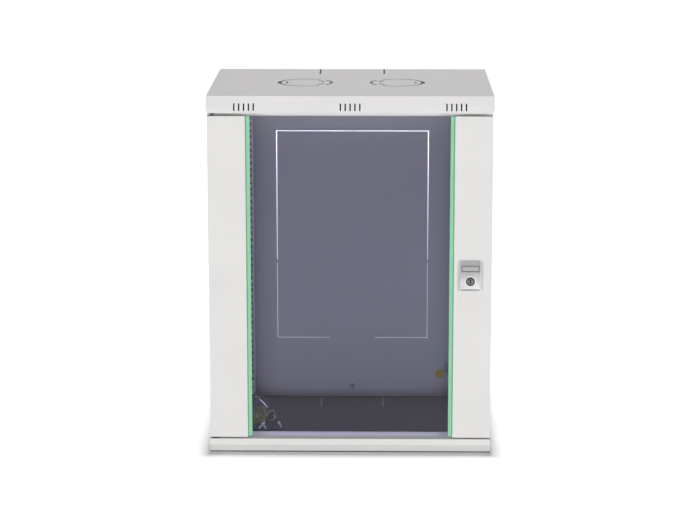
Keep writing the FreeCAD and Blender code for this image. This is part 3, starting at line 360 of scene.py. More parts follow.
def shade_painted_in_crevices(material, reach, sky_shares, deepest):
    """Painted shade: the colour falls towards the deepest share of itself where other surfaces
    close in within the reach, as in slits, seams and sharp inner folds. A place with the second
    share of its sky or more keeps its colour, and one with the first or less has the deepest."""
    nodes, links = material.node_tree.nodes, material.node_tree.links
    open_sky = nodes.new("ShaderNodeAmbientOcclusion")
    open_sky.samples = 16
    open_sky.inputs["Distance"].default_value = reach
    level = spread(nodes, links, open_sky.outputs["AO"], sky_shares, (deepest, 1), smooth=True)
    dimmed(material, level)


def sprayed_sheet(name, reach=0.005):
    """The grey powder coat, with shade painted in within the reach of seams and slits."""
    material = finish(
        name,
        tones=((0.775, 0.768, 0.752), (0.795, 0.788, 0.772)),
        patch=0.09,
        roughness=(0.42, 0.54),
        grain=0.0011,
        height=0.00004,
        Specular_IOR_Level=0.12,
    )
    shade_painted_in_crevices(material, reach, sky_shares=(0.25, 0.55), deepest=0.12)
    return material


powder_coat = sprayed_sheet("light_grey_powder_coat")
dress_both(powder_coat, "side_panel", "front_post", "rack_rail_front", "rack_rail_rear")
dress_both(powder_coat, "depth_rail_lower", "depth_rail_upper")
dress(powder_coat, "hinge_bracket")
dress_both(sprayed_sheet("powder_coat_door", reach=0.0016), "door_stile")


# --- Rear panel and rear posts.
# The same coat, with shade painted in the corners, behind the rails and high up, and painted
# lighter low down.
def light_painted_by_height(material, levels, shares):
    """Painted light and shade: the colour is multiplied by one share at the low level and by
    another at the high one.
    """
    nodes, links = material.node_tree.nodes, material.node_tree.links
    height = place_in_cabinet(nodes, links)["Z"]
    dimmed(material, spread(nodes, links, height, levels, shares))


shaded_coat = sprayed_sheet("powder_coat_shaded_behind_rails")
shade_painted_in_crevices(shaded_coat, reach=0.055, sky_shares=(0.3, 0.85), deepest=0.1)
light_painted_by_height(shaded_coat, levels=(0.15, 0.72), shares=(1.18, 0.78))
dress(shaded_coat, "rear_panel")
dress_both(shaded_coat, "rear_post")


# --- Top cover with its knock-outs.
# Shade is painted on the coat along both sides of each fan and cable slit, where the slits show
# dark, and the left and right fan knock-outs mirror each other.
def shade_painted_at_slits(material):
    """Two rings round each fan's centre, and a line to each side of the cable knock-out, in
    painted shade. The painted shade dims the coat by 0.86 on a slit, and less and less up to 1.2
    mm beside it. A place on a ring is told by its turn: the cosine of its angle from the line
    between the fans, 1 at the end near the other fan. The outer ring is cut except at one wide
    bridge and widens to a crescent at the far end. The inner one is cut only along one short arc
    and at the far end."""
    mounts = {mount["name"]: mount["pos_m"] for mount in frame["record"]["mounts"]}
    fan_across, fan_back = mounts["roof_fan_right"][:2]
    outer_radius, inner_radius, half_slit, half_crescent = 0.0565, 0.041, 0.0019, 0.0040
    bridge_turns, inner_turns, crescent_turn = (0.545, 0.777), (0.643, 0.956), -0.968
    cable_across, cable_front, half_cable_slit = 0.0715, 0.1403, 0.001
    beside_slit, loss = 0.0012, 0.86
    nodes, links = material.node_tree.nodes, material.node_tree.links
    step = calculator(nodes, links)
    parts = place_in_cabinet(nodes, links)

    def within(value, low, high):
        """1 between the two numbers and 0 outside."""
        return step("MULTIPLY", step("GREATER_THAN", value, low), step("LESS_THAN", value, high))

    def near(distance, half):
        """1 on the slit, and down to 0 beside it."""
        over = step("DIVIDE", step("SUBTRACT", step("ABSOLUTE", distance), half), beside_slit)
        return step("SUBTRACT", 1.0, step("MINIMUM", step("MAXIMUM", over, 0.0), 1.0))

    across = step("ABSOLUTE", parts["X"])
    inward = step("SUBTRACT", fan_across, across)
    back = step("SUBTRACT", parts["Y"], fan_back)
    square = step("ADD", step("MULTIPLY", inward, inward), step("MULTIPLY", back, back))
    radius = step("SQRT", square)
    turn = step("DIVIDE", inward, radius)
    from_outer = step("SUBTRACT", radius, outer_radius)
    from_inner = step("SUBTRACT", radius, inner_radius)
    far_end = step("LESS_THAN", turn, crescent_turn)
    outer_cut = step("SUBTRACT", 1.0, within(turn, *bridge_turns))
    outer = step("MULTIPLY", near(from_outer, half_slit), outer_cut)
    inner_cut = step("MAXIMUM", within(turn, *inner_turns), far_end)
    inner = step("MULTIPLY", near(from_inner, half_slit), inner_cut)
    crescent = step("MULTIPLY", near(from_outer, half_crescent), far_end)
    rings = step("MAXIMUM", step("MAXIMUM", outer, inner), crescent)
    cable = near(step("SUBTRACT", across, cable_across), half_cable_slit)
    cable = step("MULTIPLY", cable, step("GREATER_THAN", parts["Y"], cable_front))
    mark = step("MAXIMUM", rings, cable)
    dimmed(material, step("SUBTRACT", 1.0, step("MULTIPLY", mark, loss)))


roof_coat = sprayed_sheet("powder_coat_roof")
shade_painted_at_slits(roof_coat)
dress(roof_coat, "top_cover")


# --- Bottom cover.
# The same sheet and coat. The pan inside is darker, with shade painted on it.
def shade_painted_on_pan(material, level, share):
    """Painted shade: below the level the colour is the share of what it is above."""
    nodes, links = material.node_tree.nodes, material.node_tree.links
    step = calculator(nodes, links)
    above = step("GREATER_THAN", place_in_cabinet(nodes, links)["Z"], level)
    dimmed(material, step("ADD", step("MULTIPLY", above, 1 - share), share))


pan_coat = sprayed_sheet("powder_coat_pan")
shade_painted_on_pan(pan_coat, level=0.0025, share=0.25)
dress(pan_coat, "bottom_cover")


# --- Dark strips behind the vent slots.
# Black sheets inside the top cover, one behind each group of slots, standing in for the shade
# there.
def made(name, shape, material, body, smooth=False):
    """A piece of the shape's points and faces, with its material and the body it moves with."""
    points, faces = shape
    mesh = bpy.data.meshes.new(name)
    mesh.from_pydata(points.tolist(), [], faces)
    mesh.materials.append(material)
    mesh.polygons.foreach_set("use_smooth", np.full(len(mesh.polygons), smooth))
    mesh.update()
    piece = bpy.data.objects.new(name, mesh)
    studio.collection.objects.link(piece)
    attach(piece, body)
    return piece


def skinned(rings, joined=False):
    """A closed skin over rings of points, as points and faces. The last ring joins the first
    one, or else each has a flat cap. All faces are turned over if the volume, the sum of the
    corners' triple products seen from the middle, comes out below zero."""
    rows, columns = rings.shape[:2]
    points = rings.reshape(-1, 3)
    row, column = np.meshgrid(np.arange(rows - 1 + joined), np.arange(columns), indexing="ij")
    row, column = row.ravel(), column.ravel()
    next_row, next_column = (row + 1) % rows, (column + 1) % columns
    corners = (row, column), (next_row, column), (next_row, next_column), (row, next_column)
    sides = np.stack([r * columns + c for r, c in corners], axis=1)
    first, second, third, fourth = (points[sides[:, i]] - points.mean(axis=0) for i in range(4))
    volume = (first * (np.cross(second, third) + np.cross(third, fourth))).sum()
    faces = sides.tolist()
    if not joined:
        last = (rows - 1) * columns
        faces += [list(range(columns)), list(range(last, last + columns))[::-1]]
    return points, faces if volume > 0 else [face[::-1] for face in faces]


def gathered(shapes):
    """Several shapes' points and faces as one shape."""
    points, faces, first = [], [], 0
    for some_points, some_faces in shapes:
        points.append(some_points)
        faces += [[corner + first for corner in face] for face in some_faces]
        first += len(some_points)
    return np.concatenate(points), faces


def strip_across(outline, middle, half_length):
    """A strip of one outline in Y and Z, carried along X to both sides of its middle."""
    ends = np.empty((2, len(outline), 3))
    ends[:, :, 0] = [[middle - half_length], [middle + half_length]]
    ends[:, :, 1:] = outline
    return skinned(ends)


vent_shade_black = finish(
    "black_vent_shade",
    tones=((0.006, 0.006, 0.007), (0.014, 0.014, 0.016)),
    patch=0.002,
    roughness=(0.95, 1.0),
    grain=0.0009,
    height=0.0006,
    Specular_IOR_Level=0.1,
)
cover_low, cover_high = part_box("top_cover")
shade_strip_corners = [
    (0.0018, -0.0340),
    (0.0018, -0.0212),
    (0.0089, -0.0128),
    (0.0112, -0.0147),
    (0.0048, -0.0223),
    (0.0048, -0.0340),
]
shade_strip_outline = np.array(shade_strip_corners) + (cover_low[1], cover_high[2])
vent_pitch, shade_strip_half = 0.221, 0.0255
shade_strips = [strip_across(shade_strip_outline, side * vent_pitch, shade_strip_half) for side in (-1, 0, 1)]
made("vent_shade_strips", gathered(shade_strips), vent_shade_black, "cabinet")


# --- Bolts, screws, cams and nuts.
# Turned and pressed steel with a bright zinc plating, cloudy at hand size and finely scratched.
zinc_plate = finish(
    "bright_zinc_plate",
    tones=((0.56, 0.57, 0.6), (0.7, 0.71, 0.73)),
    patch=0.012,
    roughness=(0.22, 0.42),
    grain=0.0007,
    height=0.00002,
    Metallic=1.0,
)
dress_both(zinc_plate, "rail_bolts_front", "rail_bolts_rear", "panel_cam")
dress(zinc_plate, "rear_panel_screws", "lock_nut", "lock_cam", "lock_cam_screw", "earth_nuts")


# --- Hinge pins and spring.
# Turned steel pins and a wound spring, blackened in oil.
black_oxide = finish(
    "black_oxide_steel",
    tones=((0.035, 0.036, 0.04), (0.06, 0.061, 0.066)),
    patch=0.008,
    roughness=(0.35, 0.5),
    grain=0.0006,
    height=0.00002,
    Metallic=0.6,
)
dress(black_oxide, "hinge_pin_lower", "hinge_pin_upper", "hinge_spring")


# --- Door lock plate, lock cylinders and side panel locks.
# Zinc die castings with satin nickel plating. Light and shade are painted in bands on the door's
# plate and on its cylinder's turned face.
def satin_nickel(name):
    """Satin nickel plating with a soft sheen."""
    return finish(
        name,
        tones=((0.42, 0.41, 0.42), (0.52, 0.51, 0.52)),
        patch=0.02,
        roughness=(0.3, 0.44),
        grain=0.0009,
        height=0.00005,
        Metallic=1.0,
    )


def painted_light_bands(material, source, bands):
    """Painted light and shade: the colour is multiplied by a share that runs evenly from band to
    band: bands lists the places, from 0 to 1 of the source, and the share at each."""
    nodes, links = material.node_tree.nodes, material.node_tree.links
    run = nodes.new("ShaderNodeValToRGB")
    points = run.color_ramp.elements
    for number, (place, share) in enumerate(bands):
        point = points[number] if number < 2 else points.new(place)
        point.position = place
        point.color = (share, share, share, 1)
    links.new(source, run.inputs["Fac"])
    dimmed(material, run.outputs["Color"])


def lock_plate():
    """Satin nickel with light and shade painted in bands up the plate: dark at its very foot,
    brightest just above, dimmer high up and brighter at the top. It is darker on the raised frame
    round the place for a label."""
    plate_low, plate_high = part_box("lock_bezel")
    frame_rise, frame_loss = 0.0003, 0.72
    material = satin_nickel("satin_nickel_plate")
    nodes, links = material.node_tree.nodes, material.node_tree.links
    step = calculator(nodes, links)
    parts = place_in_cabinet(nodes, links)
    height = spread(nodes, links, parts["Z"], (plate_low[2], plate_high[2]), (0, 1))
    lower_bands = (0.0, 0.5), (0.035, 0.5), (0.05, 1.5), (0.3, 1.25)
    upper_bands = (0.6, 0.84), (0.85, 0.8), (0.87, 1.0), (1.0, 1.15)
    painted_light_bands(material, height, lower_bands + upper_bands)
    painted = step("LESS_THAN", parts["Y"], plate_low[1] + frame_rise)
    dimmed(material, step("SUBTRACT", 1.0, step("MULTIPLY", painted, frame_loss)))
    return material


cylinder_low, cylinder_high = (np.array(corner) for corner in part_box("lock_cylinder"))
face_middle = (cylinder_low + cylinder_high) / 2
face_middle[1] = cylinder_low[1]


def lock_face():
    """A turned face with light and shade painted on: a painted highlight on the rim, painted shade
    in the groove inside it and in the key slot, and a dull, darker middle with more painted shade
    above than below. Its bands go by the distance from the middle over 12 mm."""
    whole_radius, dull_radius = 0.012, 0.0097
    shade_levels, shade_shares = (0.001, 0.007), (1.0, 0.45)
    half_slot_width, half_slot_height, slot_loss = 0.0013, 0.0042, 0.96
    material = satin_nickel("satin_nickel_cylinder")
    nodes, links = material.node_tree.nodes, material.node_tree.links
    step = calculator(nodes, links)
    parts = place_in_cabinet(nodes, links)
    across = step("SUBTRACT", parts["X"], face_middle[0])
    up = step("SUBTRACT", parts["Z"], face_middle[2])
    radius = step("SQRT", step("ADD", step("MULTIPLY", across, across), step("MULTIPLY", up, up)))
    middle_bands = (0.0, 0.3), (0.25, 0.5), (0.5, 0.3), (0.66, 0.42)
    rim_bands = (0.7, 0.08), (0.8, 0.08), (0.83, 1.7), (1.0, 1.7)
    painted_light_bands(material, step("DIVIDE", radius, whole_radius), middle_bands + rim_bands)
    kept_above = spread(nodes, links, up, shade_levels, shade_shares)
    inside = step("LESS_THAN", radius, dull_radius)
    loss = step("MULTIPLY", step("SUBTRACT", 1.0, kept_above), inside)
    dimmed(material, step("SUBTRACT", 1.0, loss))
    in_width = step("LESS_THAN", step("ABSOLUTE", across), half_slot_width)
    in_height = step("LESS_THAN", step("ABSOLUTE", up), half_slot_height)
    slot = step("MULTIPLY", in_width, in_height)
    dimmed(material, step("SUBTRACT", 1.0, step("MULTIPLY", slot, slot_loss)))
    return material


dress_both(satin_nickel("satin_nickel"), "panel_lock")
dress(lock_plate(), "lock_bezel")
dress(lock_face(), "lock_cylinder")


# --- Ring round the lock cylinder.
# A polished half-round steel ring pressed into the plate round the cylinder.
def ring_round(centre, radius, thickness, steps=96, sides=16):
    """A torus about an axis along Y: each point is the centre plus the radius in one turn's
    direction plus the thickness in the other turn's."""
    turn, roll = (np.linspace(0, 2 * np.pi, count, endpoint=False) for count in (steps, sides))
    turn, roll = np.meshgrid(turn, roll, indexing="ij")
    reach = radius + thickness * np.cos(roll)
    ring = [reach * np.cos(turn), thickness * np.sin(roll), reach * np.sin(turn)]
    return skinned(np.stack(ring, axis=-1) + centre, joined=True)


polished_steel = finish(
    "polished_steel",
    tones=((0.86, 0.86, 0.87), (0.93, 0.93, 0.94)),
    patch=0.01,
    roughness=(0.12, 0.2),
    grain=0.0008,
    height=0.00001,
    Metallic=1.0,
)
lock_ring = ring_round(face_middle, radius=0.0112, thickness=0.00075)
made("lock_ring", lock_ring, polished_steel, "door", smooth=True)


# --- Door glass.
# A toughened pane 4 mm thick, tinted a cool grey all through, so that the inside looks dark.
def tinted_pane():
    """Clear tinted glass that also lets the lamps through to what is behind it."""
    material, nodes, links = new_material("grey_tinted_glass")
    shader = shader_of(nodes, links)
    shader.inputs["Base Color"].default_value = (0.64, 0.64, 0.80, 1)
    shader.inputs["Transmission Weight"].default_value = 1
    shader.inputs["IOR"].default_value = 1.3
    shader.inputs["Specular IOR Level"].default_value = 0.15
    shader.inputs["Roughness"].default_value = 0.0
    clear = lobe(nodes, "BsdfTransparent", (0.8, 0.8, 0.88))
    pane = blended(nodes, links, lighting(nodes, links), shader.outputs[0], clear.outputs[0])
    links.new(pane, nodes["Material Output"].inputs["Surface"])
    return material


dress(tinted_pane(), "door_glass")

# --- Foam tape between the glass and the stiles.
# Black closed-cell foam with adhesive on both faces.
foam_tape = finish(
    "black_foam_tape",
    tones=((0.02, 0.02, 0.022), (0.045, 0.045, 0.05)),
    patch=0.004,
    roughness=(0.85, 0.95),
    grain=0.0006,
    height=0.0002,
)
dress_both(foam_tape, "glass_tape")

# --- Green trim strips.
# A ridged plastic extrusion pushed over the raw edge of the glass beside each stile.
green_plastic = finish(
    "green_extrusion",
    tones=((0.355, 0.80, 0.50), (0.385, 0.83, 0.53)),
    patch=0.05,
    roughness=(0.3, 0.4),
    grain=0.0012,
    height=0.00002,
    stretch=(1, 1, 0.02),
)
dress_both(green_plastic, "trim_strip")

# --- Hinge bushes.
# Black nylon, turned with a flange and clipped into the covers.
black_nylon = finish(
    "black_nylon",
    tones=((0.03, 0.03, 0.033), (0.05, 0.05, 0.054)),
    patch=0.006,
    roughness=(0.4, 0.55),
    grain=0.0005,
    height=0.00003,
)
dress(black_nylon, "hinge_bush_lower", "hinge_bush_upper")

# --- Door buffers.
# Soft moulded rubber feet, pressed into the posts, that the door closes on.
soft_rubber = finish(
    "soft_rubber",
    tones=((0.07, 0.07, 0.075), (0.11, 0.11, 0.115)),
    patch=0.008,
    roughness=(0.7, 0.9),
    grain=0.0006,
    height=0.00006,
)
dress(soft_rubber, "door_buffers")

# --- Earth stud.
# A coppered steel stud, welded to the rear panel.
coppered_steel = finish(
    "coppered_steel",
    tones=((0.5, 0.2, 0.1), (0.62, 0.29, 0.16)),
    patch=0.004,
    roughness=(0.25, 0.45),
    grain=0.0006,
    height=0.00003,
    Metallic=1.0,
)
dress(coppered_steel, "earth_stud")

# --- Yellow disc beside the earth stud.
# A plain round vinyl label, stuck to the rear panel.
yellow_vinyl = finish(
    "yellow_vinyl",
    tones=((0.8, 0.6, 0.04), (0.88, 0.68, 0.06)),
    patch=0.006,
    roughness=(0.4, 0.55),
    grain=0.0008,
    height=0.00002,
)
dress(yellow_vinyl, "earth_label")


# --- Bag of loose fittings: its film.
# A clear polythene bag, laid on the floor of the cabinet against the rear rail. It sags round
# what it holds, creases sharply and shows milky along its folds.
bag_corner = np.array(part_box("fittings_bag")[0])


def in_bag(*place):
    """The point at this place from the bag's left, front and lower corner."""
    return bag_corner + place


def fold(depth, turn):
    """A fold as deep as the depth, which meets the next one in a sharp crest wherever the
    turn's sine is zero."""
    return depth * np.abs(np.sin(turn))


def sagging_bag(centre, sides, sharpness=16, rows=150, columns=220):
    """A closed pouch inside slanted sides, each a direction and a point on it. The radius in a
    direction is one over the p-norm of its shares over each side's distance, which rounds the
    edges more as p, the sharpness, falls. Folds by the direction's angles cut in from there, 3
    mm deep in long drapes and less in fine ones, and least near the top and bottom."""
    polar = (np.arange(rows) + 0.5) / rows * np.pi
    turn = np.arange(columns) / columns * 2 * np.pi
    polar, turn = np.meshgrid(polar, turn, indexing="ij")
    across, depth, up = np.sin(polar) * np.cos(turn), np.sin(polar) * np.sin(turn), np.cos(polar)
    way = np.stack([across, depth, up], axis=-1)
    total = np.zeros(polar.shape)
    for direction, point in sides:
        direction = np.array(direction) / np.linalg.norm(direction)
        distance = (point - centre) @ direction
        total += np.maximum(way @ direction / distance, 0) ** sharpness
    radius = total ** (-1 / sharpness)
    lean = np.arctan2(up, across)
    folds = fold(0.0030, 3.0 * lean + 4.1 * depth + 0.8 * np.sin(5 * depth))
    folds += fold(0.0018, 7.3 * lean - 6.0 * depth + 1.3 * np.sin(3 * lean))
    folds += fold(0.0011, 9.0 * depth + 15.0 * up + 1.1 * np.sin(11 * across))
    folds += fold(0.0006, 27.0 * across - 19.0 * up + 23.0 * depth)
    return skinned(centre + way * (radius - folds * (0.4 + 0.6 * np.sin(polar)))[..., None])


def clear_film():
    """Thin film: clear straight on, shiny and milky where it is seen along its surface, and
    milky along fine creases, where the noise is close to its middle."""
    crumple_size, crumple_height, half_crease = 0.011, 0.006, 0.012
    edge_cloud, crease_cloud, least_gleam, edge_gleam = 0.04, 0.16, 0.012, 0.4
    material, nodes, links = new_material("clear_polythene")
    step = calculator(nodes, links)
    clear = lobe(nodes, "BsdfTransparent", (0.93, 0.94, 0.96))
    for_eye = lobe(nodes, "BsdfTransparent", (0.78, 0.78, 0.82))
    milk = lobe(nodes, "BsdfDiffuse", (0.62, 0.62, 0.66))
    shine = lobe(nodes, "BsdfAnisotropic", (0.95, 0.95, 1.0), roughness=0.16)
    crumple = noise(nodes, links, crumple_size, stretch=(1, 0.5, 1.6))
    normal = bumped(nodes, links, crumple, crumple_height)
    edge = nodes.new("ShaderNodeLayerWeight")
    edge.inputs["Blend"].default_value = 0.25
    links.new(normal, shine.inputs["Normal"])
    links.new(normal, edge.inputs["Normal"])
    crease = step("LESS_THAN", step("ABSOLUTE", step("SUBTRACT", crumple, 0.5)), half_crease)
    cloud = step("MULTIPLY", edge.outputs["Facing"], edge_cloud)
    cloud = step("ADD", cloud, step("MULTIPLY", crease, crease_cloud))
    gleam = step("MULTIPLY", edge.outputs["Fresnel"], edge_gleam)
    gleam = step("ADD", gleam, least_gleam)
    milky = blended(nodes, links, cloud, for_eye.outputs[0], milk.outputs[0])
    shiny = blended(nodes, links, gleam, milky, shine.outputs[0])
    film = blended(nodes, links, lighting(nodes, links), shiny, clear.outputs[0])
    links.new(film, nodes["Material Output"].inputs["Surface"])
    return material


bag_sides = [
    ((-1, 0, 0), in_bag(0.0004, 0.0000, 0.0000)),
    ((0, 0, -1), in_bag(0.0000, 0.0000, 0.0002)),
    ((0.9, 0.1, 0.36), in_bag(0.0635, 0.0605, 0.0093)),
    ((0.77, 0.18, 0.63), in_bag(0.0485, 0.0605, 0.0373)),
    ((0.59, 0.22, 0.8), in_bag(0.0310, 0.0605, 0.0582)),
    ((0.1, -0.75, 0.65), in_bag(0.0310, 0.0045, 0.0088)),
    ((0, -1, 0), in_bag(0.0000, 0.0005, 0.0000)),
    ((0, 0.95, 0.3), in_bag(0.0310, 0.1295, 0.0088)),
    ((0, 0, 1), in_bag(0.0000, 0.0000, 0.0668)),
]
bag_shape = sagging_bag(in_bag(0.0270, 0.0645, 0.0228), bag_sides)
film = made("bag_film", bag_shape, clear_film(), "cabinet", smooth=True)
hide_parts("fittings_bag")
bag_pieces = [film]


# --- Bag of loose fittings: its pleats.
# Where the film doubles over it stands up in narrow pleats, near white, which also stand in for
# the highlights along the folds.
def pleat(begin, end, thickness, bow, steps=40, sides=10):
    """A closed spindle from one point to another, bowed by a sine and wrinkled by two more, as
    thick as the thickness times the square root of the sine of its share of the way."""
    share = np.linspace(0, 1, steps)
    wave = np.sin(np.pi * share) + 0.16 * np.sin(17 * share) + 0.1 * np.sin(31 * share)
    path = begin + (end - begin) * share[:, None] + np.array(bow) * wave[:, None]
    along = np.gradient(path, axis=0)
    along /= np.linalg.norm(along, axis=1, keepdims=True)
    across = np.cross(along, (0, -1, 0.3))
    across /= np.linalg.norm(across, axis=1, keepdims=True)
    outward = np.cross(across, along)
    reach = thickness * (0.12 + 0.88 * np.sqrt(np.maximum(np.sin(np.pi * share), 0)))
    roll = (np.arange(sides) / sides * 2 * np.pi)[None, :, None]
    ring = np.cos(roll) * across[:, None] + 0.6 * np.sin(roll) * outward[:, None]
    return skinned(path[:, None] + reach[:, None, None] * ring)


folded_film_and_highlight = finish(
    "folded_polythene_and_highlight",
    tones=((0.88, 0.88, 0.92), (0.98, 0.98, 1.0)),
    patch=0.003,
    roughness=(0.15, 0.3),
    grain=0.002,
    height=0.0006,
)
pleat_places = [
    ((0.0150, 0.0495, 0.0613), (0.0350, 0.0375, 0.0433), 0.0014, (0.0010, 0, 0.0010)),
    ((0.0030, 0.0545, 0.0658), (0.0155, 0.0495, 0.0638), 0.0005, (0, 0, 0.001)),
    ((0.0470, 0.0275, 0.0318), (0.0520, 0.0215, 0.0228), 0.0006, (0.001, 0, 0)),
    ((0.0260, 0.0165, 0.0238), (0.0320, 0.0125, 0.0138), 0.0004, (-0.001, 0, 0)),
    ((0.0610, 0.0185, 0.0103), (0.0665, 0.0165, 0.0073), 0.0009, (0, 0, 0.001)),
    ((0.0625, 0.0185, 0.0123), (0.0640, 0.0155, 0.0038), 0.0006, (0.001, 0, 0)),
]
pleats = [pleat(in_bag(*begin), in_bag(*end), *shape) for begin, end, *shape in pleat_places]
pleat_shape = gathered(pleats)
bag_pieces.append(
    made("bag_pleats", pleat_shape, folded_film_and_highlight, "cabinet", smooth=True)
)


# --- Bag of loose fittings: earth leads.
# Short bonding leads with yellow and green insulation, each wound in rings round one hand.
def turned(vectors, axis, angle):
    """The vectors turned about an axis through the origin by an angle in radians."""
    axis = np.array(axis) / np.linalg.norm(axis)
    cross = np.cross(axis, vectors)
    along = (vectors @ axis)[..., None] * axis
    return vectors * math.cos(angle) + cross * math.sin(angle) + along * (1 - math.cos(angle))


def stood_along(vectors, way):
    """The vectors turned so that what pointed up points along the way."""
    way = np.array(way) / np.linalg.norm(way)
    return turned(vectors, np.cross((0, 0, 1), way), math.acos(way[2]))


def wound_ring(centre, radii, axis, thickness, wobble, steps=160, sides=12):
    """A closed tube that goes twice round an oval: its path's radius and height wave by the
    wobble times sines of the angle, so that the two turns lie beside each other. The tube's
    points are the path plus the thickness along two directions across it."""
    turn = np.arange(steps) / steps * 4 * np.pi
    sway = wobble * np.sin(turn / 2)
    rise = wobble * (np.cos(turn / 2) + 0.7 * np.sin(3 * turn / 2))
    path = [(radii[0] + sway) * np.cos(turn), (radii[1] + sway) * np.sin(turn), rise]
    path = np.stack(path, axis=-1)
    along = np.roll(path, -1, axis=0) - np.roll(path, 1, axis=0)
    along /= np.linalg.norm(along, axis=1, keepdims=True)
    outward = path * (1, 1, 0)
    outward -= (outward * along).sum(axis=1, keepdims=True) * along
    outward /= np.linalg.norm(outward, axis=1, keepdims=True)
    beside = np.cross(along, outward)
    roll = (np.arange(sides) / sides * 2 * np.pi)[None, :, None]
    ring = np.cos(roll) * outward[:, None] + np.sin(roll) * beside[:, None]
    return skinned(centre + stood_along(path[:, None] + thickness * ring, axis), joined=True)


def earth_insulation():
    """Glossy vinyl in slanted yellow and green stripes, 6 mm apart through the bag."""
    stripe_pitch, green_share = 0.006, 0.42
    material, nodes, links = new_material("yellow_green_insulation")
    step = calculator(nodes, links)
    shader = shader_of(nodes, links)
    parts = place_in_cabinet(nodes, links)
    slant = step("ADD", parts["X"], step("MULTIPLY", parts["Z"], 0.8))
    slant = step("ADD", slant, step("MULTIPLY", parts["Y"], 0.6))
    stripe = step("FRACT", step("DIVIDE", slant, stripe_pitch))
    green = step("LESS_THAN", stripe, green_share)
    tone = toned(nodes, links, green, (0.46, 0.36, 0.05), (0.03, 0.13, 0.04))
    links.new(tone, shader.inputs["Base Color"])
    fine = noise(nodes, links, 0.0015, detail=2.0)
    links.new(ramp(nodes, links, fine, 0.25, 0.4), shader.inputs["Roughness"])
    return material


lead_places = [
    ((0.0170, 0.0485, 0.0268), (0.0125, 0.0165), (0.60, -0.8, 0.35), 0.0010, 0.0024),
    ((0.0160, 0.0365, 0.0168), (0.0125, 0.0135), (-0.45, -0.8, 0.5), 0.0010, 0.0026),
    ((0.0220, 0.0465, 0.0308), (0.0100, 0.0150), (-0.7, -0.7, 0.25), 0.0009, 0.0020),
    ((0.0120, 0.0405, 0.0208), (0.0085, 0.0150), (0.9, -0.5, 0.1), 0.0010, 0.0018),
    ((0.0420, 0.0485, 0.0233), (0.0085, 0.0110), (0.10, -1.0, 0.3), 0.0009, 0.0007),
]
lead_rings = [wound_ring(in_bag(*centre), *coil) for centre, *coil in lead_places]
lead_shape, insulation = gathered(lead_rings), earth_insulation()
bag_pieces.append(
    made("bagged_earth_leads", lead_shape, insulation, "cabinet", smooth=True)
)


# --- Bag of loose fittings: cage nuts.
# Square nuts held in folded spring steel cages, blackened, which lie in the bag's low corner.
def cage_nut(middle, axis, degrees):
    """A square nut, a plate over it and the two folded ears of its cage, as four blocks."""
    square = np.array([(-0.5, -0.5), (0.5, -0.5), (0.5, 0.5), (-0.5, 0.5)])
    unit_block = np.stack([np.insert(square, 2, height, axis=1) for height in (-0.5, 0.5)])
    blocks = [
        ((0, 0, 0), (0.0098, 0.0098, 0.0048)),
        ((0, 0, 0.0031), (0.0128, 0.0104, 0.0009)),
        ((0.0060, 0, -0.0004), (0.0009, 0.0104, 0.0062)),
        ((-0.0060, 0, -0.0004), (0.0009, 0.0104, 0.0062)),
    ]
    angle = math.radians(degrees)
    return [skinned(middle + turned(unit_block * size + off, axis, angle)) for off, size in blocks]


nut_places = [
    (in_bag(0.0130, 0.0205, 0.0066), (0.3, 1, 0.2), 24),
    (in_bag(0.0220, 0.0325, 0.0073), (1, 0.2, 0.5), 70),
    (in_bag(0.0370, 0.0265, 0.0078), (0.2, 1, 0.9), 52),
    (in_bag(0.0460, 0.0385, 0.0083), (1, -0.3, 0.2), 80),
    (in_bag(0.0350, 0.0485, 0.0138), (0.6, 0.5, 1), 40),
    (in_bag(0.0490, 0.0645, 0.0108), (0.1, 1, 0.3), 60),
    (in_bag(0.0310, 0.0725, 0.0108), (1, 0.8, 0), 35),
    (in_bag(0.0430, 0.0545, 0.0248), (0.4, -1, 0.4), 66),
    (in_bag(0.0120, 0.0605, 0.0088), (0, 1, 1), 30),
]
black_cage = finish(
    "black_cage_steel",
    tones=((0.012, 0.012, 0.014), (0.03, 0.03, 0.034)),
    patch=0.004,
    roughness=(0.3, 0.5),
    grain=0.0006,
    height=0.00002,
    Specular_IOR_Level=0.4,
)
nut_shape = gathered([block for place in nut_places for block in cage_nut(*place)])
bag_pieces.append(made("bagged_cage_nuts", nut_shape, black_cage, "cabinet"))
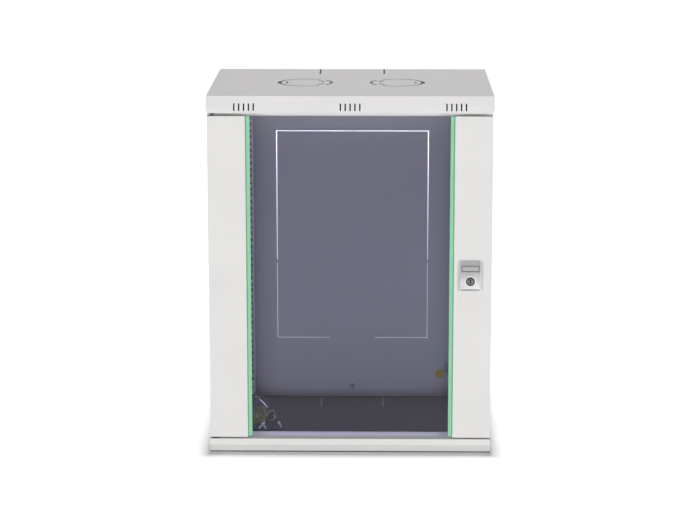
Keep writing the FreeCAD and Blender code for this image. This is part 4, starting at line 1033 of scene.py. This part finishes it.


# --- Bag of loose fittings: screws.
# Bright zinc plated pan head screws, which slipped to the front of the bag. Their near white
# colour also paints in their glints.
def screw(tip, way, length=0.016, girth=1.0, sides=24):
    """A screw from its tip along a way: rings of the profile's radii at its heights, with a
    thread's ridges on the shank and a domed head at the far end, times the girth."""
    ridges = np.arange(1, 22)
    thread_heights = 0.0004 + ridges * length / 24
    head_heights = [length, length, length + 0.0012, length + 0.0026, length + 0.0034]
    heights = np.array([0, 0.0004, *thread_heights, *head_heights])
    thread_radii = 0.00245 + 0.00035 * (ridges % 2)
    head_radii = [0.0024, 0.0056, 0.0056, 0.0046, 0.0001]
    radii = np.array([0.0001, 0.0024, *thread_radii, *head_radii]) * girth
    turn = np.arange(sides) / sides * 2 * np.pi
    rings = np.empty((len(heights), sides, 3))
    rings[..., 0] = radii[:, None] * np.cos(turn)
    rings[..., 1] = radii[:, None] * np.sin(turn)
    rings[..., 2] = heights[:, None]
    return skinned(tip + stood_along(rings, way))


zinc_white_for_glints = finish(
    "bright_zinc_screws",
    tones=((0.9, 0.91, 0.93), (0.97, 0.97, 0.98)),
    patch=0.004,
    roughness=(0.28, 0.4),
    grain=0.0006,
    height=0.00001,
    Metallic=0.3,
)
screws = [
    screw(in_bag(0.0160, 0.0135, 0.0028), (0.50, 0.35, 0.50), 0.012, 0.75),
    screw(in_bag(0.0320, 0.0115, 0.0028), (-0.42, 0.25, 0.70), 0.012, 0.75),
    screw(in_bag(0.0650, 0.0275, 0.0038), (-0.35, 0.45, 0.50), 0.010, 0.75),
    screw(in_bag(0.0060, 0.0705, 0.0068), (0.25, 0.9, 0.35), 0.012),
    screw(in_bag(0.0280, 0.0905, 0.0058), (1, 0.4, 0.12)),
]
bag_pieces.append(made("bagged_screws", gathered(screws), zinc_white_for_glints, "cabinet"))

# --- Narrow lamp on the bag.
# It lights the bag's pieces only, so that the film glints as it does under a studio's spot.
glinting = bpy.data.collections.new("glinting")
for piece in bag_pieces:
    glinting.objects.link(piece)
glint.light_linking.receiver_collection = glinting
